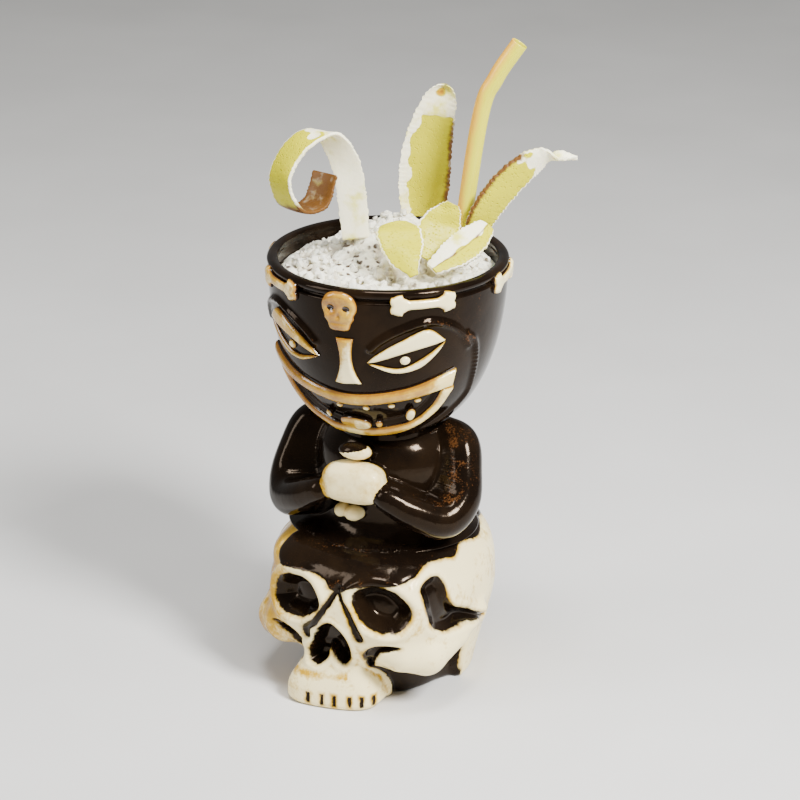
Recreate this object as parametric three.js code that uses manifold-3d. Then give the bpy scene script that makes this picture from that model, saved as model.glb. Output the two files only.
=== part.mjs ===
// Tiki mug: a glazed ceramic cup in three stacked forms - a grinning head that holds the drink, a
// crouched torso with folded arms, and a skull that it stands on - served with crushed ice, cut
// peel and a drinking straw. Millimetres, +Z up, the face looks along -Y, and the origin is on the
// resting plane under the middle of the cup's mouth.
import * as THREE from 'three';
import { mergeVertices } from 'three/addons/utils/BufferGeometryUtils.js';
import Module from 'manifold-3d';

const wasm = await Module();
wasm.setup();

// ---- driving dimensions ----
const MUG_HEIGHT = 172;
const RIM_RADIUS = 45.2;
const BOWL_FLOOR_Z = 103.3;
const NECK_RADIUS = 20;
const THROAT_RADIUS = 14.5;
const WALL = 3.6;
const GAP = 0.3;
const SPRIG_LIFT = 1.7;
const LIP_LIFT = 2.4;
const TORSO_TOP_Z = 103;
const TORSO_FOOT_Z = 62.6;
const TORSO_WIDTH_RATIO = 1.18;
const SKULL_TOP_Z = 62.3;
const SKULL_HALF_WIDTH = 40;
const SKULL_HALF_DEPTH = 47.5;
const SKULL_YAW = -5.5;
const SKULL_FLOOR = 4;
const JAW_CENTRE_Y = -38;
const JAW_HALF_WIDTH = 20;
const JAW_DEPTH = 10;
const JAW_BACK = 18;
const TOOTH_HEIGHT = 9;
const TOOTH_COUNT = 8;
const ICE_BOTTOM_Z = 150;
const ICE_LEVEL_Z = 167.5;
const ICE_HEAP = 16;
const HEAP_CENTRE = [0.6, 9];
const HEAP_SPREAD = [19, 15];
const PEEL_THICKNESS = 1.8;
const STRAW_RADIUS = 3.1;
const STRAW_BORE = 2.8;
const STRAW_FOOT = [18.2, 6.2, 118];
const STRAW_BEND = [32.5, 12.5, 232];
const STRAW_TIP = [44.5, 17, 252];
const GARNISH_TURN = 23;
const ROUND_STEPS = 36;
const DEGREES_PER_MM = 180 / Math.PI / 44;

const rad = THREE.MathUtils.degToRad;

// ---- glazes and foods ----
const finish = (color, roughness) => new THREE.MeshStandardMaterial({ color, roughness, metalness: 0 });
const blackGlaze = finish(0x150d08, 0.12);
const creamGlaze = finish(0xf6e9c4, 0.22);
const amberGlaze = finish(0xd9a648, 0.22);
const ice = finish(0xf3efe6, 0.3);
const peelZest = finish(0xd8dc4a, 0.45);
const peelPith = finish(0xfbf3d6, 0.6);
const strawPlastic = finish(0xd9dc3a, 0.35);

// ---- solid helpers ----

/** Keeps only welded positions and turns the faces outward. */
function clean(geometry) {
  const bare = geometry.clone();
  bare.deleteAttribute('normal');
  bare.deleteAttribute('uv');
  const welded = mergeVertices(bare, 1e-4);
  const p = welded.attributes.position;
  const index = welded.index.array;
  const [a, b, c] = [new THREE.Vector3(), new THREE.Vector3(), new THREE.Vector3()];
  let volume = 0;
  for (let i = 0; i < index.length; i += 3) {
    a.fromBufferAttribute(p, index[i]);
    b.fromBufferAttribute(p, index[i + 1]);
    c.fromBufferAttribute(p, index[i + 2]);
    volume += a.dot(b.cross(c));
  }
  if (volume < 0) welded.setIndex(Array.from(index).reverse());
  return welded;
}

/** A closed geometry as a solid that can be cut. */
function solid(geometry) {
  const g = clean(geometry);
  return new wasm.Manifold(new wasm.Mesh({
    numProp: 3,
    vertProperties: new Float32Array(g.attributes.position.array),
    triVerts: new Uint32Array(g.index.array),
  }));
}

/** A cut solid as a geometry again. */
function shape(body) {
  const mesh = body.getMesh();
  const g = new THREE.BufferGeometry();
  g.setAttribute('position', new THREE.BufferAttribute(new Float32Array(mesh.vertProperties), 3));
  g.setIndex(new THREE.BufferAttribute(new Uint32Array(mesh.triVerts), 1));
  return g;
}

/** Turns a closed [radius, height] outline about the vertical axis; angle 0 faces the front. */
function turned(profile, steps = ROUND_STEPS) {
  const points = profile.map(([r, z]) => new THREE.Vector2(r, z));
  return new THREE.LatheGeometry(points, steps).rotateX(Math.PI / 2);
}

/** Moves every vertex of a geometry by a function of its position. */
function bent(geometry, move) {
  const p = geometry.attributes.position;
  const v = new THREE.Vector3();
  for (let i = 0; i < p.count; i += 1) {
    v.fromBufferAttribute(p, i);
    move(v);
    p.setXYZ(i, v.x, v.y, v.z);
  }
  return geometry;
}

/** A ball of the three given radii about a centre. */
function ball(centre, radii, across = 20, down = 12) {
  return new THREE.SphereGeometry(1, across, down).scale(...radii).translate(...centre);
}

/** Adds a named piece to a group. */
function add(group, name, geometry, material) {
  const mesh = new THREE.Mesh(geometry, material);
  mesh.name = name;
  group.add(mesh);
}

/** Points of a smooth curve through the given ones. */
function smooth(points, count) {
  const curve = new THREE.SplineCurve(points.map(([x, y]) => new THREE.Vector2(x, y)));
  return curve.getPoints(count).map((p) => [p.x, p.y]);
}

/** The same outline on the other side of the face. */
const mirrored = (outline) => outline.map(([a, z]) => [-a, z]).reverse();

// ---- head ----

/** Outside radius of the head at a height. */
function bowlRadius(z) {
  const t = Math.min(Math.max((z - 102) / (MUG_HEIGHT - 102), 0), 1);
  return Math.max(RIM_RADIUS * (1 - (1 - t) ** 2.2) ** 0.385, NECK_RADIUS);
}

/** Inside radius of the head at a height. */
const cavityRadius = (z) => Math.max(bowlRadius(z - 3.4) - WALL, THROAT_RADIUS);

/** Heights from the neck to just under the lip. */
const bowlHeights = [BOWL_FLOOR_Z, 106, 108, 110.5, 114, 118, 123, 129, 136, 144, 153, 161, 166.5];

function headBowl() {
  const outside = bowlHeights.map((z) => [bowlRadius(z), z]);
  const lip = [[43.8, 167.6], [45.1, 169.2], [RIM_RADIUS, 170.6], [44.2, MUG_HEIGHT], [42, MUG_HEIGHT], [41, 170.6]];
  const inside = [BOWL_FLOOR_Z, 108, 112, 117, 124, 134, 148, 164].map((z) => [cavityRadius(z), z]).reverse();
  const outline = [...outside, ...lip, ...inside];
  return turned([...outline, outline[0]]);
}

/** A ring that stands off the head's surface, from one distance to another. */
function bowlSkin(near, far) {
  const heights = [...bowlHeights, MUG_HEIGHT];
  const outer = heights.map((z) => [bowlRadius(z) + far, z]);
  const inner = heights.map((z) => [bowlRadius(z) + near, z]).reverse();
  return turned([...outer, ...inner, outer[0]]);
}

/** A wedge that runs outward through an outline of [angle in degrees, height] points. */
function wedge(outline) {
  const flat = new THREE.Shape(outline.map(([a, z]) => new THREE.Vector2(a, z)));
  const reaches = [8, 26, 50, 110];
  const steps = reaches.length - 1;
  const prism = new THREE.ExtrudeGeometry(flat, { depth: steps, steps, bevelEnabled: false });
  return bent(prism, (v) => {
    const angle = rad(v.x);
    const reach = reaches[Math.round(v.z)];
    const height = v.y;
    v.set(reach * Math.sin(angle), -reach * Math.cos(angle), height);
  });
}

const skins = {};

/** A raised clay shape on the head: an outline in [angle, height], and how far it stands out. */
function sprig(outline, lift = SPRIG_LIFT) {
  skins[lift] ??= solid(bowlSkin(GAP, GAP + lift));
  return shape(solid(wedge(outline)).intersect(skins[lift]));
}

/** An outline in millimetres laid on the head around a centre. */
const placed = (points, angle, z) => points.map(([x, y]) => [angle + x * DEGREES_PER_MM, z + y]);

/** The outline of a line of [angle, height] points drawn with a width in millimetres. */
function drawn(line, width) {
  const left = [];
  const right = [];
  line.forEach(([a, z], i) => {
    const [a0, z0] = line[Math.max(i - 1, 0)];
    const [a1, z1] = line[Math.min(i + 1, line.length - 1)];
    const along = new THREE.Vector2((a1 - a0) / DEGREES_PER_MM, z1 - z0).normalize();
    const side = [-along.y * width / 2 * DEGREES_PER_MM, along.x * width / 2];
    left.push([a + side[0], z + side[1]]);
    right.push([a - side[0], z - side[1]]);
  });
  return [...right, ...left.reverse()];
}

/** A dog bone: a shaft with two round knobs at each end. */
function boneOutline() {
  const s = new THREE.Shape();
  const knob = 2.1;
  const [out, up] = [10, 1.9];
  s.absarc(out, -up, knob, rad(200), rad(410));
  s.absarc(out, up, knob, rad(-50), rad(160));
  s.absarc(-out, up, knob, rad(20), rad(230));
  s.absarc(-out, -up, knob, rad(130), rad(340));
  return s.getPoints(2).map((p) => [p.x, p.y]);
}

/** A small skull seen from the front, with a narrow jaw. */
function littleSkullOutline() {
  const s = new THREE.Shape();
  s.moveTo(-3.3, -8.9);
  s.lineTo(3.3, -8.9);
  s.lineTo(4.3, -4.4);
  s.absellipse(0, 0, 6.6, 5.7, rad(-38), rad(218));
  s.lineTo(-4.3, -4.4);
  return s.getPoints(4).map((p) => [p.x, p.y]);
}

/** The long nose: flat top, narrow waist and flared foot. */
function noseOutline() {
  const s = new THREE.Shape();
  s.moveTo(-5.8, -9.3);
  s.lineTo(5.8, -9.3);
  s.quadraticCurveTo(1.6, -1.5, 3.4, 9.3);
  s.lineTo(-3.4, 9.3);
  s.quadraticCurveTo(-1.6, -1.5, -5.8, -9.3);
  return s.getPoints(4).map((p) => [p.x, p.y]);
}

/** A round dot outline of a radius in millimetres. */
const dotOutline = (rx, ry, count = 7) => Array.from({ length: count }, (_, i) => [
  rx * Math.cos((2 * Math.PI * i) / count),
  ry * Math.sin((2 * Math.PI * i) / count),
]);

const upperEyelid = [
  ...smooth([[17.5, 144.6], [32.3, 148.3], [48, 151]], 3),
  ...smooth([[50.4, 152.2], [41.5, 157], [27.3, 152.4], [12.8, 144.6]], 6),
];
const lowerEyelid = [
  ...smooth([[14.4, 142.2], [25.5, 139.9], [37.8, 141.2], [50.2, 150.6]], 6),
  ...smooth([[47, 149], [39.5, 145.4], [29, 141.9], [16.5, 143.4]], 5),
];
const browLine = smooth([[14.5, 149.4], [20, 153.2], [29.5, 157.2], [41.5, 159.7], [53, 157.2], [61, 152.4]], 6);
const cheekLine = smooth([[64, 151.6], [71, 146.5], [75.3, 131.3], [75.2, 123.6], [64, 115.5], [47, 109.4]], 7);
const lipTop = smooth([[58.4, 138.9], [49, 136.8], [30, 132.6], [0, 129.7], [-30, 132.6], [-49, 136.8], [-58.4, 138.9]], 12);
const lipGap = smooth([[-52.4, 130.8], [-30, 127.4], [0, 124.8], [30, 127.4], [52.4, 130.8]], 10);
const upperLip = [...lipTop, [-58.8, 132.2], ...lipGap, [58.8, 132.2]];
const chinLine = smooth([[-58.8, 131.6], [-51.7, 119.7], [-33.3, 111.5], [0, 108.6], [33.3, 111.5], [51.7, 119.7], [58.8, 131.6]], 12);
const mouthFloor = smooth([[52.4, 130.2], [47.9, 122.6], [34.7, 116], [0, 112.6], [-34.7, 116], [-47.9, 122.6], [-52.4, 130.2]], 10);
const lowerLip = [...chinLine, ...mouthFloor];

function head(mug) {
  add(mug, 'head_bowl', shape(solid(headBowl())), blackGlaze);
  [-153, -97, -39.5, 39.5, 97, 153].forEach((angle, i) => {
    add(mug, `rim_bone_${i + 1}`, sprig(placed(boneOutline(), angle, 167)), creamGlaze);
  });
  add(mug, 'little_skull', sprig(placed(littleSkullOutline(), 0, 165.2), 2), creamGlaze);
  add(mug, 'nose', sprig(placed(noseOutline(), 0, 144)), creamGlaze);
  for (const [side, turn] of [['left', mirrored], ['right', (outline) => outline]]) {
    const sign = side === 'left' ? -1 : 1;
    add(mug, `upper_eyelid_${side}`, sprig(turn(upperEyelid)), creamGlaze);
    add(mug, `lower_eyelid_${side}`, sprig(turn(lowerEyelid), 1.3), creamGlaze);
    add(mug, `pupil_${side}`, sprig(placed(dotOutline(1.9, 1.7), sign * 31.2, 145.1), 1.3), creamGlaze);
    add(mug, `brow_ridge_${side}`, sprig(turn(drawn(browLine, 1.5)), 1.3), blackGlaze);
    add(mug, `cheek_ridge_${side}`, sprig(turn(drawn(cheekLine, 1.6)), 1.3), blackGlaze);
  }
  add(mug, 'upper_lip', sprig(upperLip, LIP_LIFT), amberGlaze);
  add(mug, 'lower_lip', sprig(lowerLip, LIP_LIFT), amberGlaze);
  [[-7, 123], [10, 123.2], [25, 124.7], [40, 126.7]].forEach(([angle, z], i) => {
    add(mug, `upper_tooth_${i + 1}`, sprig(placed(dotOutline(1.5, 1.4), angle, z), 1.3), creamGlaze);
  });
  [[-19, 116, 5.2, 1.7], [18, 115.6, 1.7, 1.4], [37, 120.2, 2.2, 2]].forEach(([angle, z, rx, rz], i) => {
    add(mug, `lower_tooth_${i + 1}`, sprig(placed(dotOutline(rx, rz), angle, z), 1.3), creamGlaze);
  });
}

// ---- torso ----

/** Front-to-back radius of the torso's outside, from its foot flare to the neck. */
const torsoOutside = [
  [30, TORSO_FOOT_Z], [27.5, 65.5], [24.6, 70], [23.8, 78], [24.2, 88], [23.4, 95], [21.5, 100], [18.5, TORSO_TOP_Z],
];
const torsoInside = [[14.5, TORSO_TOP_Z], [17, 98], [19.6, 90], [19.4, 78], [20.2, 70], [23, TORSO_FOOT_Z]];

/** The torso seen from above is an ellipse, wider than deep. */
const widened = (outline) => turned([...outline, outline[0]], 28).scale(TORSO_WIDTH_RATIO, 1, 1);

/** A tapered limb: a round section carried along a path of [x, y, z, radius] points. */
function limb(route, steps) {
  const path = new THREE.CatmullRomCurve3(route.map(([x, y, z]) => new THREE.Vector3(x, y, z)));
  const girth = new THREE.SplineCurve(route.map(([, , , r], i) => new THREE.Vector2(i / (route.length - 1), r)));
  const frames = path.computeFrenetFrames(steps);
  const tube = new THREE.CylinderGeometry(1, 1, steps, 10, steps);
  return bent(tube, (v) => {
    const at = Math.round(v.y + steps / 2);
    const t = at / steps;
    const r = girth.getPoint(t).y;
    const centre = path.getPoint(t);
    centre.addScaledVector(frames.normals[at], v.x * r);
    centre.addScaledVector(frames.binormals[at], v.z * r);
    v.copy(centre);
  });
}

function armRoute(sign) {
  return [
    [sign * 25, 3, 102.5, 4.6],
    [sign * 31, -1, 98.5, 6.4],
    [sign * 35, -7.5, 89, 6.9],
    [sign * 37, -12.5, 79.5, 7.2],
    [sign * 31.5, -20, 74.5, 7.6],
    [sign * 23, -27, 78.8, 7],
    [sign * 13.6, -31, 86.5, 5.4],
  ];
}

function torso(mug) {
  const shell = solid(widened([...torsoOutside, ...torsoInside]));
  const core = solid(widened([[0, 60], ...torsoOutside.map(([r, z]) => [r + GAP, z]), [0, 104]]));
  add(mug, 'torso', shape(shell), blackGlaze);
  const hands = solid(ball([-1, -30.5, 90.5], [12.4, 6.2, 8.2], 16, 10)).subtract(core);
  add(mug, 'clasped_hands', shape(hands), creamGlaze);
  const handsRoom = solid(ball([-1, -30.5, 90.5], [12.8, 6.6, 8.6], 16, 10));
  for (const [side, sign] of [['left', -1], ['right', 1]]) {
    const arm = solid(limb(armRoute(sign), 10)).subtract(core).subtract(handsRoom);
    const chin = solid(bowlSkin(-6, GAP));
    add(mug, `arm_${side}`, shape(arm.subtract(chin)), blackGlaze);
  }
  const thumb = solid(ball([0, -29.2, 100.6], [5.6, 2.9, 1.9], 10, 7)).subtract(core).subtract(handsRoom);
  add(mug, 'thumb', shape(thumb), creamGlaze);
  [-3.6, 1.8].forEach((x, i) => {
    const knob = solid(ball([x, -25.6, 79.8], [2.5, 3.2, 1.9], 10, 7)).subtract(core);
    add(mug, `finger_${i + 1}`, shape(knob), creamGlaze);
  });
}

// ---- skull ----

/** Share of the skull's full plan size at each height. */
const skullOutside = [
  [0.79, 0], [0.82, 2], [0.86, 10], [0.92, 20], [0.97, 28], [1, 36], [1, 44], [0.96, 50], [0.9, 55], [0.8, 59.5], [0.69, SKULL_TOP_Z],
];
const skullInside = [
  [0.52, SKULL_TOP_Z], [0.7, 56.5], [0.8, 51], [0.85, 44], [0.85, 36], [0.82, 28], [0.74, 19], [0.66, 10], [0.58, SKULL_FLOOR],
];

/** The hollow under the cheeks: how much the lower front is drawn in at an angle and height. */
function undercut(angle, z) {
  const front = Math.max(Math.cos(angle), 0) ** 0.5;
  const low = Math.min(Math.max((24 - z) / 12, 0), 1);
  return 0.2 * front * low;
}

/** How square the skull's plan is: round at the back, broad and flat across the face. */
const squareness = (angle) => 2.1 + 0.9 * Math.max(Math.cos(angle), 0);

/** Stretches a turned unit form to the skull's plan, standing off it by a margin. */
function skullForm(profile, margin = 0) {
  return bent(turned(profile, 32), (v) => {
    const angle = Math.atan2(v.x, -v.y);
    const n = squareness(angle);
    const across = Math.abs(Math.sin(angle)) / SKULL_HALF_WIDTH;
    const along = Math.abs(Math.cos(angle)) / SKULL_HALF_DEPTH;
    const reach = (across ** n + along ** n) ** (-1 / n);
    const r = Math.hypot(v.x, v.y) * (1 - undercut(angle, v.z)) * reach + margin;
    v.set(Math.sin(angle) * r, -Math.cos(angle) * r, v.z);
  });
}

/** Jaw width share by height: drawn in behind the teeth, widest above them, narrow at the nose. */
function jawShare(z) {
  if (z < TOOTH_HEIGHT + 0.5) return 0.84;
  return 1 - 0.3 * Math.min((z - TOOTH_HEIGHT) / 14, 1);
}

/** An oval block in front of the skull, cut back to its face. */
function upperJaw(room) {
  const steps = 5;
  const levels = [0, TOOTH_HEIGHT + 0.3, TOOTH_HEIGHT + 0.8, 14, 19, 24];
  const block = new THREE.CylinderGeometry(1, 1, steps, 22, steps).rotateX(Math.PI / 2);
  const form = bent(block, (v) => {
    const z = levels[Math.round(v.z + steps / 2)];
    const depth = v.y < 0 ? JAW_DEPTH : JAW_BACK;
    v.set(v.x * JAW_HALF_WIDTH * jawShare(z), v.y * depth * jawShare(z) + JAW_CENTRE_Y, z);
  });
  return shape(solid(form).subtract(room));
}

/** One tooth: a length of the oval band in front of the jaw. */
function tooth(index) {
  const sweep = 150 / TOOTH_COUNT;
  const from = -75 + index * sweep + 1;
  const inner = 0.84 + 0.02;
  const arc = (share, a) => new THREE.Vector2(
    Math.sin(rad(a)) * JAW_HALF_WIDTH * share,
    JAW_CENTRE_Y - Math.cos(rad(a)) * JAW_DEPTH * share,
  );
  const angles = [from, from + sweep / 2 - 1, from + sweep - 2];
  const outline = [...angles.map((a) => arc(1, a)), ...angles.reverse().map((a) => arc(inner, a))];
  const band = new THREE.ExtrudeGeometry(new THREE.Shape(outline), { depth: TOOTH_HEIGHT - 1, bevelEnabled: false });
  return band.translate(0, 0, 0.6);
}

function skull(group) {
  const sockets = [[-19.5, -45.5, 43, 11, 6, 9.2], [19.5, -45.5, 43, 11, 6, 9.2], [0, -47.5, 28, 7, 6, 8]];
  const temples = [[-41.5, -8, 38, 4.5, 8, 10], [41.5, -8, 38, 4.5, 8, 10]];
  let shell = solid(skullForm([...skullOutside, ...skullInside, [0, SKULL_FLOOR], [0, 0], skullOutside[0]]));
  [...sockets, ...temples].forEach(([x, y, z, rx, ry, rz]) => {
    shell = shell.subtract(solid(ball([x, y, z], [rx, ry, rz], 14, 8)));
  });
  add(group, 'skull', shape(shell), creamGlaze);
  const room = solid(skullForm([[0, -1], [0.74, -1], ...skullOutside, [0, 63], [0, -1]], GAP));
  for (const [side, sign] of [['left', -1], ['right', 1]]) {
    const lump = solid(ball([sign * 30, -27, 27], [11, 12, 6.5], 14, 9));
    add(group, `cheekbone_${side}`, shape(lump.subtract(room)), creamGlaze);
  }
  add(group, 'upper_jaw', upperJaw(room), creamGlaze);
  for (let i = 0; i < TOOTH_COUNT; i += 1) {
    add(group, `skull_tooth_${i + 1}`, tooth(i), creamGlaze);
  }
}

// ---- what the mug is served with ----

/** A drinking tube along the straw's line, of one radius. */
function strawTube(radius, points) {
  const path = new THREE.CurvePath();
  const spots = points.map((p) => new THREE.Vector3(...p));
  path.add(new THREE.LineCurve3(spots[0], spots[1]));
  const round = new THREE.Shape().absarc(0, 0, radius, 0, 2 * Math.PI);
  return new THREE.ExtrudeGeometry(round, { extrudePath: path, steps: 1, curveSegments: 5, bevelEnabled: false });
}

function straw(group) {
  const foot = new THREE.Vector3(...STRAW_FOOT);
  const bend = new THREE.Vector3(...STRAW_BEND);
  const tip = new THREE.Vector3(...STRAW_TIP);
  const near = bend.clone().lerp(foot, 0.07);
  const far = bend.clone().lerp(tip, 0.35);
  const path = new THREE.CatmullRomCurve3([foot, near.clone().lerp(foot, 0.5), near, far, tip]);
  const tube = (r, grow) => {
    const spots = path.getPoints(20);
    const start = spots[0].clone().lerp(spots[1], -grow);
    const end = spots[20].clone().lerp(spots[19], -grow);
    const line = new THREE.CatmullRomCurve3([start, ...spots.slice(1, 20), end]);
    const round = new THREE.Shape().absarc(0, 0, r, 0, 2 * Math.PI);
    return new THREE.ExtrudeGeometry(round, { extrudePath: line, steps: 8, curveSegments: 5, bevelEnabled: false });
  };
  add(group, 'straw', shape(solid(tube(STRAW_RADIUS, 0)).subtract(solid(tube(STRAW_BORE, 0.3)))), strawPlastic);
}

/** Height of the heaped ice at a place. */
function iceTop(x, y) {
  const r = Math.hypot(x, y);
  const across = (x - HEAP_CENTRE[0]) / HEAP_SPREAD[0];
  const back = (y - HEAP_CENTRE[1]) / HEAP_SPREAD[1];
  return ICE_LEVEL_Z + ICE_HEAP * Math.exp(-(across ** 2) - back ** 2) - 0.02 * Math.max(r - 30, 0) ** 2;
}

function iceMound(group) {
  const edge = (z) => cavityRadius(z) - 0.5;
  const side = [[edge(ICE_BOTTOM_Z), ICE_BOTTOM_Z], [edge(158), 158], [edge(166), 166]];
  const top = [36, 30, 23, 15, 7, 0].map((r) => [r, MUG_HEIGHT]);
  const form = bent(turned([[0, ICE_BOTTOM_Z], ...side, ...top], 28), (v) => {
    if (v.z > 167) v.z = iceTop(v.x, v.y);
  });
  const foot = new THREE.Vector3(...STRAW_FOOT);
  const bend = new THREE.Vector3(...STRAW_BEND);
  const drill = strawTube(STRAW_RADIUS + 0.5, [foot.toArray(), bend.toArray()]);
  add(group, 'ice', shape(solid(form).subtract(solid(drill))), ice);
}

/** A strip of peel: a thin bar bent along a route, with a width at each point and a side direction. */
function peelStrip(route, thick, steps = 10) {
  const path = new THREE.CatmullRomCurve3(route.map((p) => new THREE.Vector3(p[0], p[1], p[2])));
  const measures = (k) => new THREE.SplineCurve(route.map((p, i) => new THREE.Vector2(i / (route.length - 1), p[k])));
  const [width, roll] = [measures(3), measures(4)];
  const bar = new THREE.BoxGeometry(1, 1, steps, 2, 1, steps);
  return bent(bar, (v) => {
    const t = Math.min(Math.max(v.z / steps + 0.5, 0), 1);
    const along = path.getTangent(t);
    const a = rad(roll.getPoint(t).y);
    const wanted = new THREE.Vector3(Math.cos(a), Math.sin(a), 0);
    const side = wanted.addScaledVector(along, -wanted.dot(along)).normalize();
    const face = new THREE.Vector3().crossVectors(along, side);
    const centre = path.getPoint(t);
    centre.addScaledVector(side, v.x * width.getPoint(t).y);
    centre.addScaledVector(face, v.y * thick);
    v.copy(centre);
  });
}

// Routes are [across, back, up, width, direction of the width in degrees], in the garnish's own
// frame, which is turned so that its length lies across the cup.
const garnishRoutes = {
  peel_curl: [
    [-12, 4, 178.5, 11, 0], [-13.5, 5, 192, 11, 0], [-16, 5, 206, 11, -10], [-23, 2, 217.5, 11.5, -30],
    [-33, -3, 216, 12, -45], [-40, -7, 203, 12.5, -50], [-36, -5, 191, 12, -45], [-28, 3, 190, 12, -40],
    [-24, 8, 199, 11, -40],
  ],
  peel_blade_tall: [
    [13, 13, 184, 15, 0], [13.5, 12.5, 193, 19, 0], [14.5, 12, 207, 18.6, 0], [17.5, 11.5, 221, 15, 0], [21.5, 10.5, 233, 8, 0],
  ],
  peel_blade_side: [
    [33, -6, 184, 10, 10], [37.5, -7, 192, 11.5, 10], [46, -6, 202.5, 11.5, 10], [56, -5, 209.5, 9, 10], [69.5, -4, 210, 2, 10],
  ],
  peel_fold_left: [[2, -10, 186.5, 11, 5], [3.5, -15, 185.5, 16, 5], [5, -20, 182, 16, 0], [6.5, -25, 178, 12, 0], [9.6, -30, 172.8, 4, 0]],
  peel_fold_right: [[14.5, -14, 179, 8, 20], [17, -11.5, 182.5, 13, 15], [20, -9, 186, 14, 10], [22.5, -7.5, 190, 10, 0], [24, -7, 193, 5, 0]],
  peel_strip: [[36.5, -10.5, 186, 7, 15], [31, -16.5, 182.5, 12, 10], [24.5, -22, 179, 12, 5], [16, -28, 175, 6, 0]],
};

function garnish(group) {
  const turnedPart = new THREE.Group();
  turnedPart.rotation.z = rad(GARNISH_TURN);
  for (const [name, route] of Object.entries(garnishRoutes)) {
    add(turnedPart, name, clean(peelStrip(route, PEEL_THICKNESS)), name === 'peel_curl' ? peelPith : peelZest);
  }
  group.add(turnedPart);
}

const group = new THREE.Group();
head(group);
torso(group);
const skullGroup = new THREE.Group();
skullGroup.rotation.z = rad(SKULL_YAW);
skull(skullGroup);
group.add(skullGroup);
iceMound(group);
garnish(group);
straw(group);

export default group;
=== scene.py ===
"""A glazed tiki mug served with crushed ice, cut citrus peel and a straw.

The mug is three slip-cast forms stacked in one piece: a grinning head that holds the drink, a torso
with folded arms, and a skull foot. Every shape here is worked out in millimetres as a function of
two parameters and turned to metres when its mesh is made.
"""

import functools
import logging
import math
from dataclasses import dataclass, field
from enum import Enum
from typing import Callable, Sequence

import bmesh
import bpy
import numpy as np
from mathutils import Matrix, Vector


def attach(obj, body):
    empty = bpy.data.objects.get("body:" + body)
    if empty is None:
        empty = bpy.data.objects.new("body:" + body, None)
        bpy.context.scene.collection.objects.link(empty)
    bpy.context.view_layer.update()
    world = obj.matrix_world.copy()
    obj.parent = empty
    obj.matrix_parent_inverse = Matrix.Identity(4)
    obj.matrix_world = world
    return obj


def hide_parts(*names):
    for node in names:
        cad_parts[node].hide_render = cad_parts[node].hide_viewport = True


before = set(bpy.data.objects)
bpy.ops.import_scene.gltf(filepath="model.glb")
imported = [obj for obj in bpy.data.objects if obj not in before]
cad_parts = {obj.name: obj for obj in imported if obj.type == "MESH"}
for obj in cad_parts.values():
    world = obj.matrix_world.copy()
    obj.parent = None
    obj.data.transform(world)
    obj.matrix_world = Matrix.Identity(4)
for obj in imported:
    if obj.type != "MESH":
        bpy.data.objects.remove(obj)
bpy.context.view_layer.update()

log = logging.getLogger("tiki_mug")
Array = np.ndarray
Outline = Sequence[tuple[float, float]]
MM = 0.001
MAIN_SEED = 7
FAR = 62.0
CAST_STEPS = 46


class Side(Enum):
    """The two sides of the mug, as the sign of X."""

    LEFT = -1
    RIGHT = 1

    @property
    def word(self) -> str:
        """The side's name in piece names."""
        return self.name.lower()


# ---- small maths ----


def ease(x: Array, low: float, high: float) -> Array:
    """A soft step: 0 below low, 1 above high, and 3t^2 - 2t^3 between."""
    t = np.clip((x - low) / (high - low), 0.0, 1.0)
    return t * t * (3.0 - 2.0 * t)


def blend_min(a: Array, b: Array, soft: float) -> Array:
    """The smaller of two distances, rounded over a seam of width soft (a smooth union)."""
    h = np.clip(0.5 + 0.5 * (b - a) / soft, 0.0, 1.0)
    return b + (a - b) * h - soft * h * (1.0 - h)


def smooth_line(points: Sequence[Sequence[float]], count: int) -> Array:
    """Points spaced evenly in parameter along the Catmull-Rom curve through the given ones.

    Args:
        points: the points that the curve passes, in any number of dimensions.
        count: how many points to return.

    Returns:
        An array of count points.
    """
    p = np.asarray(points, float)
    p = np.vstack([2 * p[0] - p[1], p, 2 * p[-1] - p[-2]])
    t = np.linspace(0, len(p) - 3, count)
    i = np.minimum(t.astype(int), len(p) - 4)
    u = (t - i)[:, None]
    a, b, c, d = p[i], p[i + 1], p[i + 2], p[i + 3]
    return 0.5 * (2 * b + (c - a) * u + (2 * a - 5 * b + 4 * c - d) * u**2 + (3 * b - a - 3 * c + d) * u**3)


def edge_distance(spots: Array, outline: Array) -> Array:
    """Distance from each 2-D spot to the nearest edge of a closed outline.

    Each edge's nearest point is its start plus the edge times the clamped projection of the spot.

    Args:
        spots: the places asked about, the last axis holding the two numbers.
        outline: the corners of the closed outline.

    Returns:
        The distance to the nearest edge, at each place.
    """
    a = outline
    ab = np.roll(outline, -1, axis=0) - a
    ap = spots[..., None, :] - a
    t = np.clip((ap * ab).sum(-1) / np.maximum((ab * ab).sum(-1), 1e-12), 0, 1)
    return np.linalg.norm(ap - t[..., None] * ab, axis=-1).min(-1)


def is_inside(spots: Array, outline: Array) -> Array:
    """Whether each 2-D spot is in a closed outline: an upward ray crosses its edges an odd number of times.

    Args:
        spots: the places asked about, the last axis holding the two numbers.
        outline: the corners of the closed outline.

    Returns:
        True at each place inside.
    """
    x, y = spots[..., 0, None], spots[..., 1, None]
    x0, y0 = outline[:, 0], outline[:, 1]
    x1, y1 = np.roll(x0, -1), np.roll(y0, -1)
    spans = (x0 > x) != (x1 > x)
    run = np.where(np.abs(x1 - x0) < 1e-9, 1e-9, x1 - x0)
    return ((spans & (y < y0 + (x - x0) * (y1 - y0) / run)).sum(-1) % 2).astype(bool)


def paint(spots: Array, outline: Outline) -> Array:
    """Signed depth inside a painted outline: positive inside, in the outline's own unit.

    Args:
        spots: the places asked about, the last axis holding the two numbers.
        outline: the corners of the closed outline.

    Returns:
        The signed depth at each place.
    """
    ring = np.asarray(outline, float)
    depth = edge_distance(spots, ring)
    return np.where(is_inside(spots, ring), depth, -depth)


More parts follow.
